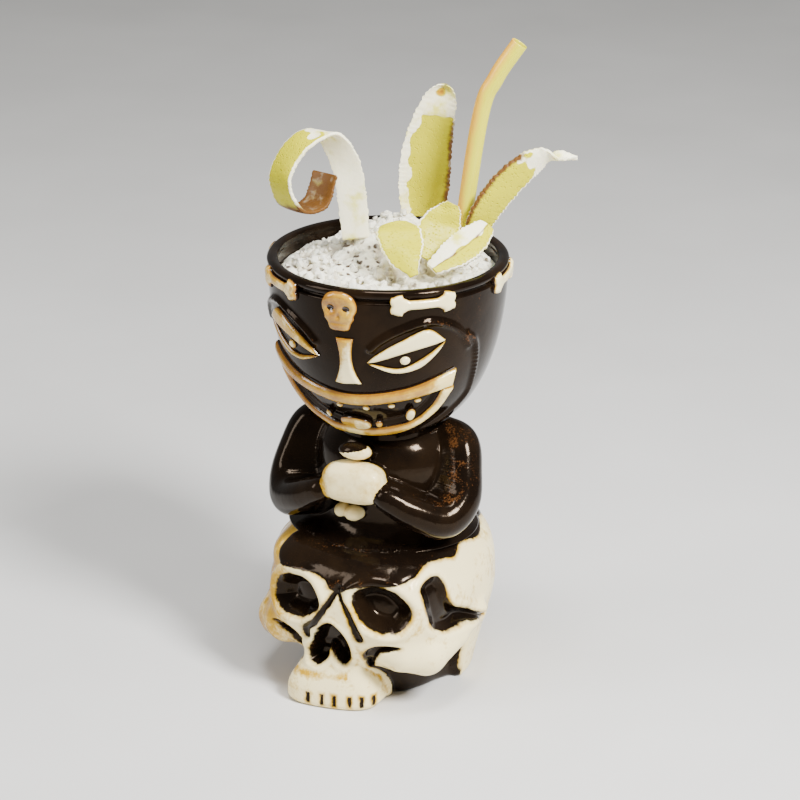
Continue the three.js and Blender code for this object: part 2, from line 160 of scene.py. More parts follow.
def ripple(x: Array, y: Array, scale: float, seed: int, count: int = 7) -> Array:
    """A soft, repeatable unevenness from -1 to 1: a sum of sine waves in seeded directions.

    Args:
        x: first coordinates.
        y: second coordinates.
        scale: the size of a swell.
        seed: the seed of the draws.
        count: how many waves are added.

    Returns:
        The height of the swell at each place.
    """
    rng = np.random.default_rng(seed)
    total = np.zeros(np.broadcast(x, y).shape)
    for _ in range(count):
        turn, phase, grow = rng.uniform(0, 2 * np.pi), rng.uniform(0, 2 * np.pi), rng.uniform(0.6, 1.6)
        total += np.sin((x * np.cos(turn) + y * np.sin(turn)) * grow * 2 * np.pi / scale + phase)
    return total / count


# ---- distance fields, in millimetres ----


def ball_field(p: Array, centre: Sequence[float], radii: Sequence[float]) -> Array:
    """Signed distance to an ellipsoid, near enough: (|p/r| - 1) scaled by |p/r| over |p/r^2|.

    Args:
        p: points in millimetres.
        centre: the middle of the ball.
        radii: its half sizes along the three axes.

    Returns:
        The signed distance at each point.
    """
    q = (p - np.asarray(centre, float)) / np.asarray(radii, float)
    length = np.linalg.norm(q, axis=-1)
    slope = np.linalg.norm(q / np.asarray(radii, float), axis=-1)
    return length * (length - 1.0) / np.maximum(slope, 1e-6)


def limb_field(p: Array, route: Sequence[Sequence[float]]) -> Array:
    """Signed distance to a chain of tapered round links: [x, y, z, radius] at each joint.

    Args:
        p: points in millimetres.
        route: the stops of the limb, each a place and a radius.

    Returns:
        The signed distance at each point.
    """
    stops = np.asarray(route, float)
    best = np.full(p.shape[:-1], 1e9)
    for start, stop in zip(stops[:-1], stops[1:]):
        axis = stop[:3] - start[:3]
        t = np.clip(((p - start[:3]) @ axis) / (axis @ axis), 0, 1)
        radius = start[3] + (stop[3] - start[3]) * t
        reach = np.linalg.norm(p - start[:3] - t[..., None] * axis, axis=-1) - radius
        best = blend_min(best, reach, 0.8)
    return best


def cast_inward(origins: Array, rays: Array, far: float, body: Callable[[Array], Array]) -> Array:
    """The outermost points of a solid along rays, found by stepping in by the distance left.

    Args:
        origins: where each ray starts, inside the solid.
        rays: unit directions.
        far: how far out the search starts.
        body: the solid's signed distance at an array of points.

    Returns:
        The surface points, one per ray.
    """
    reach = np.full(rays.shape[:-1], far)
    for _ in range(CAST_STEPS):
        gap = body(origins + reach[..., None] * rays)
        reach = np.maximum(reach - np.clip(gap * 0.8, -2.0, 6.0), 0.5)
    return origins + reach[..., None] * rays


def ray_fan(columns: int, rows: int, low: float, rise: float, bend: float, lean: float) -> tuple[Array, Array, Array]:
    """Rays out from the axis: level ones from climbing places, then ones from the last place that tilt up.

    Args:
        columns: how many rays in a turn.
        rows: how many turns.
        low: the height of the first turn.
        rise: how far the places climb.
        bend: the share of the turns that are level.
        lean: the last turn's tilt, in degrees.

    Returns:
        The turn angles, where each ray starts and its direction.
    """
    turn = np.linspace(-np.pi, np.pi, columns, endpoint=False)[None]
    v = np.linspace(0, 1, rows)[:, None]
    tilt = np.radians(lean) * np.clip((v - bend) / (1 - bend), 0, 1)
    rays = around_axis(np.cos(tilt), turn, np.sin(tilt))
    origins = np.zeros(rays.shape)
    origins[..., 2] = low + rise * np.clip(v / bend, 0, 1)
    return turn, origins, rays


def soften(points: Array, rounds: int) -> Array:
    """Each point of a round grid moved halfway to the mean of its four neighbours, again and again; the end rows stay.

    Args:
        points: the grid of points.
        rounds: how many times each point moves halfway to its neighbours' mean.

    Returns:
        The softened grid.
    """
    soft = points.copy()
    for _ in range(rounds):
        around = np.roll(soft, 1, 1) + np.roll(soft, -1, 1)
        soft[1:-1] = soft[1:-1] / 2 + (around[1:-1] + soft[:-2] + soft[2:]) / 8
    return soft


def around_axis(reach: Array, turn: Array, height: Array, widen: float = 1.0) -> Array:
    """Points at a reach and a turn from the front about the axis, at a height, made wider by widen."""
    return np.stack(np.broadcast_arrays(reach * widen * np.sin(turn), -reach * np.cos(turn), height), -1)


def turned(points: Array, angle: float) -> Array:
    """Points turned about the upright axis, anticlockwise from above, by an angle in radians."""
    c, s = math.cos(angle), math.sin(angle)
    return points @ np.array([[c, -s, 0], [s, c, 0], [0, 0, 1]]).T


def crest_of(points: Array, step: int) -> Array:
    """How far a grid bulges at each point, in millimetres: minus its outward lag behind its neighbours.

    The average of the neighbours step cells away, less the point, is taken along the outward normal.

    Args:
        points: the grid of points.
        step: how many grid steps off the compared points lie.

    Returns:
        How far each point stands above its neighbours.
    """
    up, down = np.roll(points, step, 0), np.roll(points, -step, 0)
    up[:step], down[-step:] = points[:step], points[-step:]
    left, right = np.roll(points, step, 1), np.roll(points, -step, 1)
    normal = np.cross(right - left, down - up)
    normal /= np.maximum(np.linalg.norm(normal, axis=-1, keepdims=True), 1e-9)
    outward = np.sign((normal * (points - points.mean((0, 1)))).sum(-1, keepdims=True))
    lag = (up + down + left + right) / 4 - points
    return -(lag * normal * outward).sum(-1)


# ---- meshes ----


def grid_faces(rows: int, columns: int, wrap_rows: bool = False, wrap_columns: bool = False) -> Array:
    """Four corner numbers for each cell of a grid of points numbered row by row.

    Args:
        rows: how many rows of points.
        columns: how many points in a row.
        wrap_rows: whether the last row joins the first.
        wrap_columns: whether the last column joins the first.

    Returns:
        The four corner numbers of each face.
    """
    i = np.arange(rows if wrap_rows else rows - 1)[:, None]
    j = np.arange(columns if wrap_columns else columns - 1)[None, :]
    below, beside = (i + 1) % rows, (j + 1) % columns
    corners = [i * columns + j, i * columns + beside, below * columns + beside, below * columns + j]
    return np.stack(np.broadcast_arrays(*corners), -1).reshape(-1, 4)


def make_piece(name: str, points: Array, faces: Array, marks: dict[str, Array] | None = None) -> bpy.types.Object:
    """A welded, smooth-shaded mesh object at the origin with its faces pointing out.

    Args:
        name: the piece's name.
        points: millimetre positions in any grid shape.
        faces: corner numbers into the flattened points.
        marks: named numbers, one for each point, for the finish to read.

    Returns:
        The new object.
    """
    mesh = bpy.data.meshes.new(name)
    flat = points.reshape(-1, 3) * MM
    mesh.from_pydata(flat.tolist(), [], faces.tolist())
    for key, values in (marks or {}).items():
        layer = mesh.attributes.new(key, "FLOAT", "POINT")
        layer.data.foreach_set("value", np.ascontiguousarray(values, np.float32).ravel())
    bm = bmesh.new()
    bm.from_mesh(mesh)
    bmesh.ops.remove_doubles(bm, verts=bm.verts, dist=2e-6)
    bmesh.ops.dissolve_degenerate(bm, dist=1e-7, edges=bm.edges)
    bmesh.ops.recalc_face_normals(bm, faces=bm.faces)
    bm.to_mesh(mesh)
    bm.free()
    mesh.polygons.foreach_set("use_smooth", np.ones(len(mesh.polygons), bool))
    mesh.update()
    thing = bpy.data.objects.new(name, mesh)
    bpy.context.scene.collection.objects.link(thing)
    return thing


def slab(name: str, front: Array, back: Array, marks: dict[str, Array], wrap: bool = False,
         hidden: dict[str, Array] | None = None) -> bpy.types.Object:
    """A closed thin solid: a front grid, a back grid of the same shape, and walls between their borders.

    Args:
        name: the piece's name.
        front: the visible grid of points.
        back: the hidden grid, point for point behind the front.
        marks: named numbers on the front grid.
        wrap: whether the columns run right round.
        hidden: the same names for the back grid, or None where the back repeats the front.

    Returns:
        The new object.
    """
    rows, columns = front.shape[:2]
    count = rows * columns
    faces = [grid_faces(rows, columns, False, wrap), grid_faces(rows, columns, False, wrap)[:, ::-1] + count]
    numbers = np.arange(count).reshape(rows, columns)
    if wrap:
        rims = [np.append(numbers[0], numbers[0, 0]), np.append(numbers[-1], numbers[-1, 0])]
    else:
        ring = np.concatenate([numbers[0], numbers[1:, -1], numbers[-1, -2::-1], numbers[-2:0:-1, 0]])
        rims = [np.append(ring, ring[0])]
    for rim in rims:
        faces.append(np.stack([rim[1:], rim[:-1], rim[:-1] + count, rim[1:] + count], -1))
    points = np.concatenate([front.reshape(-1, 3), back.reshape(-1, 3)])
    behind = hidden or marks
    doubled = {key: np.concatenate([marks[key].ravel(), behind[key].ravel()]) for key in marks}
    return make_piece(name, points, np.concatenate(faces), doubled)


def settle(piece: bpy.types.Object, body: str, slot: str, material: bpy.types.Material, *nodes: str) -> None:
    """Gives a finished piece its material and body, and hides the CAD nodes that it stands for.

    Args:
        piece: the object.
        body: the body that carries it.
        slot: the slot it belongs to; not used.
        material: its material.
        nodes: the nodes it replaces.
    """
    piece.data.materials.append(material)
    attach(piece, body)
    if nodes:
        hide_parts(*nodes)
    log.info("%s: %d faces on %s", piece.name, len(piece.data.polygons), body)


# ---- finishes ----


Colour = tuple[float, float, float]


class Nodes:
    """A short hand for building one node material; values are numbers, colours or another node's output."""

    def __init__(self, name: str) -> None:
        """Starts a material that holds only its shader and its output.

        Args:
            name: the material's name.
        """
        self.material = bpy.data.materials.new(name)
        self.material.use_nodes = True
        self.tree = self.material.node_tree
        self.shader = self.tree.nodes["Principled BSDF"]
        self.spot = self.tree.nodes.new("ShaderNodeTexCoord").outputs["Object"]

    def join(self, value: object, socket: object) -> None:
        """Links an output to a socket, or sets the socket to a number or a colour.

        Args:
            value: what the socket takes.
            socket: the socket.
        """
        if isinstance(value, (int, float, tuple)):
            socket.default_value = (*value[:3], 1.0) if socket.type == "RGBA" else value
        else:
            self.tree.links.new(value, socket)

    def node(self, kind: str, **sockets: object) -> object:
        """A new node with some of its sockets joined; an underscore in a name stands for a space.

        Args:
            kind: the node's type, without its first two words.
            sockets: a value for each named socket.

        Returns:
            The node.
        """
        node = self.tree.nodes.new("ShaderNode" + kind)
        for key, value in sockets.items():
            self.join(value, node.inputs[key.replace("_", " ")])
        return node

    def set(self, **sockets: object) -> None:
        """Joins the shader's own sockets; an underscore in a name stands for a space."""
        for key, value in sockets.items():
            self.join(value, self.shader.inputs[key.replace("_", " ")])

    def noise(self, scale: float, detail: float = 3.0, rough: float = 0.55) -> object:
        """Soft noise on object coordinates, scale in cells per metre."""
        return self.node("TexNoise", Vector=self.spot, Scale=scale, Detail=detail, Roughness=rough).outputs["Fac"]

    def cells(self, scale: float) -> object:
        """Distance to the nearest of scattered points, scale in cells per metre."""
        return self.node("TexVoronoi", Vector=self.spot, Scale=scale).outputs["Distance"]

    def mark(self, name: str) -> object:
        """A number that the piece carries at each of its points.

        Args:
            name: the mark.

        Returns:
            The number's output.
        """
        node = self.node("Attribute")
        node.attribute_name = name
        return node.outputs["Fac"]

    def math(self, how: str, a: object, b: object) -> object:
        """One arithmetic step.

        Args:
            how: the operation's name.
            a: the first value.
            b: the second value.

        Returns:
            The result's output.
        """
        node = self.node("Math")
        node.operation = how
        self.join(a, node.inputs[0])
        self.join(b, node.inputs[1])
        return node.outputs[0]

    def add(self, *values: object) -> object:
        """The sum of any number of values."""
        return functools.reduce(lambda a, b: self.math("ADD", a, b), values)

    def times(self, a: object, b: object) -> object:
        """One value times another."""
        return self.math("MULTIPLY", a, b)

    def spread(self, value: object, width: float) -> object:
        """A value from 0 to 1 widened about its middle: the value less a half, times the width."""
        return self.times(self.math("SUBTRACT", value, 0.5), width)

    def step(self, value: object, low: float, high: float) -> object:
        """0 below low, 1 above high, and a smooth ramp between.

        Args:
            value: the value.
            low: where the ramp starts.
            high: where it ends.

        Returns:
            The ramp's output.
        """
        node = self.node("MapRange", Value=value, From_Min=low, From_Max=high)
        node.interpolation_type = "SMOOTHSTEP"
        return node.outputs["Result"]

    def ramp(self, value: object, *stops: tuple[float, Colour]) -> object:
        """A colour for each value, mixed between the stops.

        Args:
            value: the value.
            stops: pairs of a value and its colour, in order.

        Returns:
            The colour's output.
        """
        node = self.node("ValToRGB", Fac=value)
        bar = node.color_ramp.elements
        while len(bar) < len(stops):
            bar.new(0.5)
        for element, (place, colour) in zip(bar, stops):
            element.position, element.color = place, (*colour, 1.0)
        return node.outputs["Color"]

    def mix(self, share: object, a: object, b: object) -> object:
        """Colour a where share is 0, and b where it is 1.

        Args:
            share: how much of b.
            a: one colour.
            b: the other colour.

        Returns:
            The mixture's output.
        """
        node = self.node("Mix")
        node.data_type = "RGBA"
        for value, number in ((share, 0), (a, 6), (b, 7)):
            self.join(value, node.inputs[number])
        return node.outputs[2]

    def bump(self, height: object, depth: float, strength: float) -> None:
        """Raises the surface by height times depth, in metres."""
        node = self.node("Bump", Strength=strength, Distance=depth, Height=height)
        self.set(Normal=node.outputs["Normal"])


@dataclass(frozen=True)
class BlackGlaze:
    """Thick brown-black gloss glaze that thins to rust brown where the mark called thin says so."""

    pool: Colour = (0.0045, 0.0026, 0.0016)
    body: Colour = (0.0095, 0.0052, 0.0026)
    thin: Colour = (0.13, 0.05, 0.015)
    sheen: Colour = (0.50, 0.36, 0.25)

    def colour(self, n: Nodes) -> object:
        """The glaze's colour: pooled or even by slow noise, and rust in grains and clouds where it thins.

        Args:
            n: the material.

        Returns:
            The colour's output.
        """
        base = n.mix(n.step(n.noise(60), 0.4, 0.65), self.pool, self.body)
        cloud = n.step(n.noise(150, 4), 0.34, 0.68)
        thin = n.times(n.mark("thin"), n.add(n.times(cloud, 0.8), 0.2))
        grain = n.add(n.noise(1500, 3, 0.7), n.times(thin, 0.42))
        return n.mix(n.times(n.step(grain, 0.72, 0.94), 0.75), base, self.thin)

    def make(self) -> bpy.types.Material:
        """The glaze alone.

        Returns:
            The material.
        """
        n = Nodes("black_glaze")
        n.set(Base_Color=self.colour(n), Roughness=n.add(n.times(n.noise(240, 4), 0.1), 0.035))
        n.set(Specular_IOR_Level=0.22, Specular_Tint=self.sheen)
        n.bump(n.add(n.noise(60, 2), n.times(n.noise(420, 2), 0.12)), 0.0009, 0.3)
        return n.material


@dataclass(frozen=True)
class PaleGlaze:
    """Cream glaze over a raised piece, burnt to amber where it thins along edges, and made amber as painted shade on
    sides away from the light.
    """

    name: str = "cream_glaze"
    cream: Colour = (0.98, 0.84, 0.45)
    honey: Colour = (0.56, 0.33, 0.02)
    amber: Colour = (0.30, 0.125, 0.007)
    seam: Colour = (0.02, 0.009, 0.004)

    def colour(self, n: Nodes) -> object:
        """Cream to honey to amber as the mark called tan rises, broken up by noise; tan holds both amber at thin edges
        and painted shade.

        Args:
            n: the material.

        Returns:
            The colour's output.
        """
        tan = n.add(n.mark("tan"), n.spread(n.noise(210, 5, 0.62), 0.9), n.spread(n.noise(900, 3, 0.6), 0.35))
        return n.ramp(tan, (0.18, self.cream), (0.48, self.honey), (0.95, self.amber))

    def make(self) -> bpy.types.Material:
        """The glaze alone, with a dark rim where the mark called rim says so.

        Returns:
            The material.
        """
        n = Nodes(self.name)
        dark = n.step(n.add(n.mark("rim"), n.times(n.noise(500, 4), 0.3)), 0.75, 1.05)
        n.set(Base_Color=n.mix(dark, self.colour(n), self.seam), Roughness=n.add(n.times(n.noise(300, 3), 0.14), 0.1))
        n.set(Specular_IOR_Level=0.5, Coat_Weight=0.4, Coat_Roughness=0.05)
        n.set(Subsurface_Weight=0.12, Subsurface_Scale=0.002, Subsurface_Radius=(1.0, 0.5, 0.2))
        n.bump(n.add(n.noise(160, 3), n.times(n.noise(700, 2), 0.25)), 0.0008, 0.35)
        return n.material


@dataclass(frozen=True)
class TwoGlaze:
    """Cream and black glaze on one form, meeting at a ragged honey line where the mark called pale is 0 mm."""

    name: str
    black: BlackGlaze = BlackGlaze()
    pale: PaleGlaze = PaleGlaze()
    sheen: Colour = (0.62, 0.47, 0.34)

    def make(self) -> bpy.types.Material:
        """The glazes laid by the depth in millimetres inside the pale patches.

        Returns:
            The material.
        """
        n = Nodes(self.name)
        depth = n.add(n.mark("pale"), n.spread(n.noise(330, 5, 0.65), 1.7))
        inside = n.math("SUBTRACT", 1.0, n.step(depth, 0.1, 1.5))
        burnt = n.times(inside, n.step(n.noise(70, 3), 0.35, 0.62))
        honeyed = n.mix(burnt, self.pale.colour(n), self.pale.honey)
        n.set(Base_Color=n.mix(n.step(depth, -0.25, 0.35), self.black.colour(n), honeyed))
        n.set(Roughness=n.add(n.times(n.noise(260, 3), 0.12), 0.06))
        n.set(Specular_IOR_Level=0.26, Specular_Tint=self.sheen)
        n.bump(n.add(n.noise(70, 3), n.times(n.noise(520, 2), 0.15)), 0.0010, 0.3)
        return n.material


@dataclass(frozen=True)
class IceLook:
    """Packed crushed ice: wet white with painted grey shade in the hollows by the mark called sunk, and specks by the
    one called spice.
    """

    snow: Colour = (1.0, 0.95, 0.76)
    shade: Colour = (0.62, 0.56, 0.44)
    speck: Colour = (0.07, 0.045, 0.03)

    def make(self) -> bpy.types.Material:
        """White to a painted grey shade in the hollows, with scattered dark specks, rough and smooth in patches.

        Returns:
            The material.
        """
        n = Nodes("crushed_ice")
        # Painted shade: grey where the ice lies low between lumps.
        gaps = n.step(n.add(n.mark("sunk"), n.times(n.noise(520, 5), 0.9)), 0.75, 1.35)
        spots = n.math("SUBTRACT", 1.0, n.step(n.cells(300), 0.30, 0.44))
        dark = n.times(spots, n.step(n.add(n.noise(130, 2), n.mark("spice")), 0.54, 0.68))
        n.set(Base_Color=n.mix(dark, n.mix(gaps, self.snow, self.shade), self.speck))
        n.set(Roughness=n.add(n.times(n.noise(700, 3), 0.5), 0.02), IOR=1.31, Specular_IOR_Level=0.6)
        n.set(Subsurface_Weight=0.45, Subsurface_Scale=0.004, Subsurface_Radius=(1.0, 0.9, 0.8))
        n.bump(n.add(n.noise(1100, 5, 0.7), n.cells(420)), 0.0011, 0.55)
        return n.material


@dataclass(frozen=True)
class PeelLook:
    """Citrus peel: pitted yellow zest on one face, cream pith on the other, browned cut edges, and dark brown painted
    shadow where a strip lies in shade.
    """

    zest: Colour = (0.52, 0.48, 0.0)
    ripe: Colour = (0.50, 0.22, 0.0)
    pith: Colour = (0.97, 0.91, 0.66)
    stain: Colour = (0.72, 0.68, 0.10)
    scorch_and_shadow: Colour = (0.13, 0.055, 0.012)

    def make(self) -> bpy.types.Material:
        """Zest or pith by the mark called face, ripened by the mark called ripe, and darkened to brown by the mark
        called scorch: browned cut edges and painted shadow.

        Returns:
            The material.
        """
        n = Nodes("citrus_peel")
        skin = n.mix(n.step(n.add(n.mark("ripe"), n.spread(n.noise(95, 4), 1.3)), 0.25, 0.95), self.zest, self.ripe)
        flesh = n.mix(n.step(n.noise(110, 4), 0.5, 0.72), self.pith, self.stain)
        base = n.mix(n.step(n.mark("face"), 0.35, 0.65), flesh, skin)
        # Dark brown: browned cut edges, and painted shadow down shaded sides and ends.
        burnt = n.step(n.add(n.mark("scorch_and_shadow"), n.spread(n.noise(240, 5), 1.1)), 0.45, 1.05)
        n.set(Base_Color=n.mix(burnt, base, self.scorch_and_shadow), Roughness=n.add(n.times(n.noise(400, 3), 0.25), 0.25))
        n.set(Subsurface_Weight=0.1, Subsurface_Scale=0.0015, Subsurface_Radius=(1.0, 0.7, 0.15))
        n.set(Specular_IOR_Level=0.2)
        pits = n.times(n.step(n.cells(900), 0.05, 0.35), n.mark("face"))
        n.bump(n.add(pits, n.times(n.noise(500, 4), 0.6)), 0.0004, 0.7)
        return n.material


@dataclass(frozen=True)
class StrawLook:
    """Yellow plastic with painted shade in orange down one side, by the mark called warm, and faint drawn lines."""

    body: Colour = (0.62, 0.58, 0.01)
    orange_shade: Colour = (0.85, 0.42, 0.03)

    def make(self) -> bpy.types.Material:
        """Yellow to an orange painted shade, slightly translucent.

        Returns:
            The material.
        """
        n = Nodes("straw_plastic")
        # Painted shade: orange down one side of the straw.
        cast = n.step(n.add(n.mark("orange_shade"), n.spread(n.noise(70, 3), 0.5)), 0.55, 1.15)
        n.set(Base_Color=n.mix(cast, self.body, self.orange_shade), Roughness=n.add(n.times(n.noise(300, 3), 0.15), 0.12))
        n.set(Subsurface_Weight=0.1, Subsurface_Scale=0.001, Subsurface_Radius=(1.0, 0.8, 0.1))
        n.set(Specular_IOR_Level=0.3)
        n.bump(n.noise(1400, 2), 0.00008, 0.5)
        return n.material


class Finishes:
    """One material of each finish, shared by the pieces that take it."""

    def __init__(self) -> None:
        """Makes every finish once."""
        self.black = BlackGlaze().make()
        self.cream = PaleGlaze().make()
        self.amber = PaleGlaze("amber_glaze", (0.94, 0.74, 0.28), (0.52, 0.30, 0.02), (0.29, 0.12, 0.007)).make()
        self.torso = TwoGlaze("torso_glaze").make()
        self.skull = TwoGlaze("skull_glaze").make()
        self.ice = IceLook().make()
        self.peel = PeelLook().make()
        self.straw = StrawLook().make()


# ---- the head ----


def band(lower: Outline, upper: Outline, along: int, across: int) -> Array:
    """A flat grid between two curves: point (t, s) is (1 - s) lower(t) + s upper(t), s closer at both edges.

    Args:
        lower: one edge of the strip.
        upper: the other edge.
        along: how many points along each edge.
        across: how many points from edge to edge.

    Returns:
        The grid of places.
    """
    low, high = smooth_line(lower, along), smooth_line(upper, along)
    s = ((1 - np.cos(np.pi * np.linspace(0, 1, across))) / 2)[None, :, None]
    return low[:, None] * (1 - s) + high[:, None] * s


def disc(outline: Array, rings: int) -> Array:
    """A flat grid from the middle of an outline to its edge: point (f, k) is middle + f (outline(k) - middle).

    The shares f are sines of even steps, so the rings lie closer at the edge.

    Args:
        outline: the corners of the closed outline.
        rings: how many rings, the middle and the edge among them.

    Returns:
        The grid of places.
    """
    middle = outline.mean(0)
    f = np.sin(np.linspace(0, np.pi / 2, rings))[:, None, None]
    return middle + f * (outline[None] - middle)


def ellipse(centre: tuple[float, float], across: float, up: float, count: int = 40) -> Array:
    """Points round an upright ellipse."""
    turn = np.linspace(0, 2 * np.pi, count, endpoint=False)
    return np.stack([centre[0] + across * np.cos(turn), centre[1] + up * np.sin(turn)], -1)


@dataclass
class Head:
    """The bowl-shaped head with its rolled lip, and the clay laid on it: bones, skull, nose, eyes and grin.

    Places on the head are [degrees from the front, height] and become [mm round the head, height].
    """

    finishes: Finishes
    rim_radius: float = 45.2
    height: float = 172.0
    neck_radius: float = 20.0
    neck_height: float = 103.3
    wall: float = 3.6
    throat_radius: float = 14.5
    skin_radius: float = 44.0
    sink: float = 0.9
    bone_angles: tuple[float, ...] = (-153, -97, -39.5, 39.5, 97, 153)
    bone_height: float = 167.0
    lower_teeth: tuple = ((-19, 117.2, 1.3, 1.6, 0.1), (17, 115.4, 1.9, 1.5, 0.5), (37, 120.0, 2.4, 2.9, 0.2),
                          (-0.5, 114.2, 9.2, 3.2, 0.62))
    columns: int = 384
    brow: tuple = ((14.5, 149.4), (20, 153.2), (29.5, 157.2), (41.5, 159.7), (53, 157.2), (61, 152.4), (66, 147))
    cheek: tuple = ((64, 152), (71, 146.5), (75.3, 131.3), (75.2, 123.6), (64, 115.5), (47, 109.4), (33, 106.6))
    lip_top: tuple = ((58.4, 138.9), (49, 136.8), (30, 132.6), (0, 129.7), (-30, 132.6), (-49, 136.8), (-58.4, 138.9))
    lip_gap: tuple = ((52.4, 130.8), (30, 127.4), (0, 124.8), (-30, 127.4), (-52.4, 130.8))
    chin: tuple = ((58.8, 131.6), (51.7, 119.7), (33.3, 111.5), (0, 108.6), (-33.3, 111.5), (-51.7, 119.7),
                   (-58.8, 131.6))
    floor: tuple = ((52.4, 130.2), (47.9, 122.6), (34.7, 116), (0, 112.6), (-34.7, 116), (-47.9, 122.6), (-52.4, 130.2))

    def radius(self, z: Array) -> Array:
        """Outside radius at a height: a blunt egg that swells from the neck to the rim."""
        t = np.clip((z - 102) / (self.height - 102), 0, 1)
        return np.maximum(self.rim_radius * (1 - (1 - t) ** 2.2) ** 0.385, self.neck_radius)

    def hollow(self, z: Array) -> Array:
        """Inside radius at a height."""
        return np.maximum(self.radius(z - 3.4) - self.wall, self.throat_radius)

    def flat(self, places: Outline, side: int = 1) -> Array:
        """Places in [degrees, height] as [mm round the head, height], mirrored where side is -1."""
        p = np.asarray(places, float)
        return np.stack([p[:, 0] * side * math.radians(1) * self.skin_radius, p[:, 1]], -1)

    def on_skin(self, spots: Array, rise: Array | float) -> Array:
        """Points standing off the head: the wall's point at each spot plus rise along the wall's slope.

        Args:
            spots: the places asked about, the last axis holding the two numbers.
            rise: how far the points stand off the skin.

        Returns:
            The points in space.
        """
        turn, z = spots[..., 0] / self.skin_radius, spots[..., 1]
        slope = self.radius(z + 0.5) - self.radius(z - 0.5)
        size = np.sqrt(1 + slope**2)
        out, up = self.radius(z) + rise / size, z - rise * slope / size
        return around_axis(out, turn, up)

    def lay(self, name: str, spots: Array, lift: float, round_off: float, look: bpy.types.Material, slot: str,
            amber_and_shade: Array | float = 0.0, relief: Array | float = 0.0, dark: Array | float = 0.0,
            closed: bool = False) -> None:
        """Lays one raised clay shape on the head.

        Its rise is lift times a quarter circle of the distance to its edge, plus the relief.

        Args:
            name: the CAD node's name, which the piece takes.
            spots: the flat grid that it covers.
            lift: how far it stands out.
            round_off: how far in from the edge the rounding runs.
            look: its glaze.
            slot: the glaze's slot.
            amber_and_shade: how much more amber it is than usual, partly its own tone and partly painted shade.
            relief: extra height at each spot.
            dark: where black glaze lies in its hollows.
            closed: whether the grid's columns run right round.
        """
        ring = spots[-1] if closed else np.concatenate([spots[0], spots[1:, -1], spots[-1, -2::-1], spots[-2:0:-1, 0]])
        inward = edge_distance(spots, ring)
        rise = lift * np.sqrt(1 - (1 - np.clip(inward / round_off, 0, 1)) ** 2) + relief
        turn = spots[..., 0] / self.skin_radius
        # Painted shade: every laid piece is made more amber the further it lies to the left, with a random mottle on
        # top.
        lean = 0.16 * ease(-turn, -0.1, 0.8) + 0.16 * ripple(spots[..., 0], spots[..., 1], 11, 31)
        tan = 0.6 * (1 - ease(inward, 0.0, 0.8)) + amber_and_shade + lean
        marks = {"tan": tan, "rim": np.maximum(1 - ease(inward, 0.0, 0.3), dark)}
        piece = slab(name, self.on_skin(spots, rise), self.on_skin(spots, -self.sink), marks, closed)
        settle(piece, "mug", slot, look, *[name] * (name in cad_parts))

    def build_bowl(self) -> None:
        """Makes the bowl: a profile turned about the axis, with soft ridges and the sunk mouth in its outside."""
        z = np.concatenate([np.linspace(self.neck_height, 108, 12)[:-1], np.linspace(108, 167.2, 128)])
        outer = np.stack([self.radius(z), z], -1)
        lip = smooth_line([(45.0, 167.2), (43.9, 168.2), (45.1, 169.3), (45.4, 170.7), (44.4, 171.9), (43.1, 172.1),
                           (41.6, 171.6), (41.2, 170.2), (41.6, 168.5)], 42)[1:]
        down = np.linspace(168, self.neck_height, 46)
        inner = np.stack([self.hollow(down), down], -1)
        profile = np.concatenate([outer, lip, inner])
        turn = np.linspace(-np.pi, np.pi, self.columns, endpoint=False)[None]
        spots = np.stack(np.broadcast_arrays(turn * self.skin_radius, z[:, None]), -1)
        rise = np.zeros(spots.shape[:2])
        thin = np.zeros(spots.shape[:2])
        for side in (-1, 1):
            for route, height in ((self.brow, 1.5), (self.cheek, 1.3)):
                line = smooth_line(self.flat(route, side), 60)
                gap = np.sqrt(((spots[:, :, None] - line) ** 2).sum(-1).min(-1))
                crest = height * np.exp(-((gap / 1.25) ** 2))
                rise = np.maximum(rise, crest)
                thin = np.maximum(thin, 0.32 * crest)
        mouth = np.concatenate([smooth_line(self.flat(self.lip_gap), 40), smooth_line(self.flat(self.floor), 60)[::-1]])
        inside = np.where(is_inside(spots, mouth), edge_distance(spots, mouth), 0)
        rise = rise - 1.3 * ease(inside, 0, 1.6)
        thin += 0.42 * np.exp(-(((np.abs(turn) - 1.15) / 0.3) ** 2)) * ease(z, 140, 158)[:, None]
        skin = self.on_skin(spots, rise)
        rest = around_axis(profile[len(z):, :1], turn, profile[len(z):, 1:])
        points = np.concatenate([skin, rest])
        marks = {"thin": np.concatenate([thin, np.full(rest.shape[:2], 0.12)])}
        rows = len(points)
        bowl = make_piece("head_bowl", points, grid_faces(rows, self.columns, True, True), marks)
        ridges = [f"{part}_ridge_{side.word}" for part in ("brow", "cheek") for side in Side]
        settle(bowl, "mug", "black_glaze", self.finishes.black, "head_bowl", *ridges)

    def build_bones(self) -> None:
        """Lays the rim bones: a shaft swept along x whose half height follows two round knobs at each end."""
        knob, out, up, waist = 2.5, 9.6, 1.65, 1.85
        x = 12.1 * np.sin(np.linspace(-np.pi / 2, np.pi / 2, 74))[:, None]
        s = np.sin(np.linspace(-np.pi / 2, np.pi / 2, 23))[None]
        bulge = up + np.sqrt(np.clip(knob**2 - (np.abs(x) - out) ** 2, 0, None)) * (np.abs(x) > out - knob)
        shaft = waist + 1.4 * ease(np.abs(x), 4.6, 8.6)
        half = np.where(np.abs(x) > out - knob, np.maximum(bulge, shaft), shaft)
        y = s * half
        end = out + np.sqrt(np.clip(knob**2 - (np.abs(y) - up) ** 2, 0, None))
        flat = np.stack([x * end / 12.1, y], -1)
        for number, angle in enumerate(self.bone_angles, 1):
            spots = flat + self.flat([(angle, self.bone_height)])[0]
            relief = 0.35 * ease(np.abs(flat[..., 0]), 5, 10) * (1 - ease(np.abs(flat[..., 1]), 1.5, 4.2))
            # Painted shade: bones on the left side are made more amber, those on the right paler.
            self.lay(f"rim_bone_{number}", spots, 1.55, 1.5, self.finishes.cream, "cream_glaze",
                     0.22 if angle < 0 else -0.05, relief)

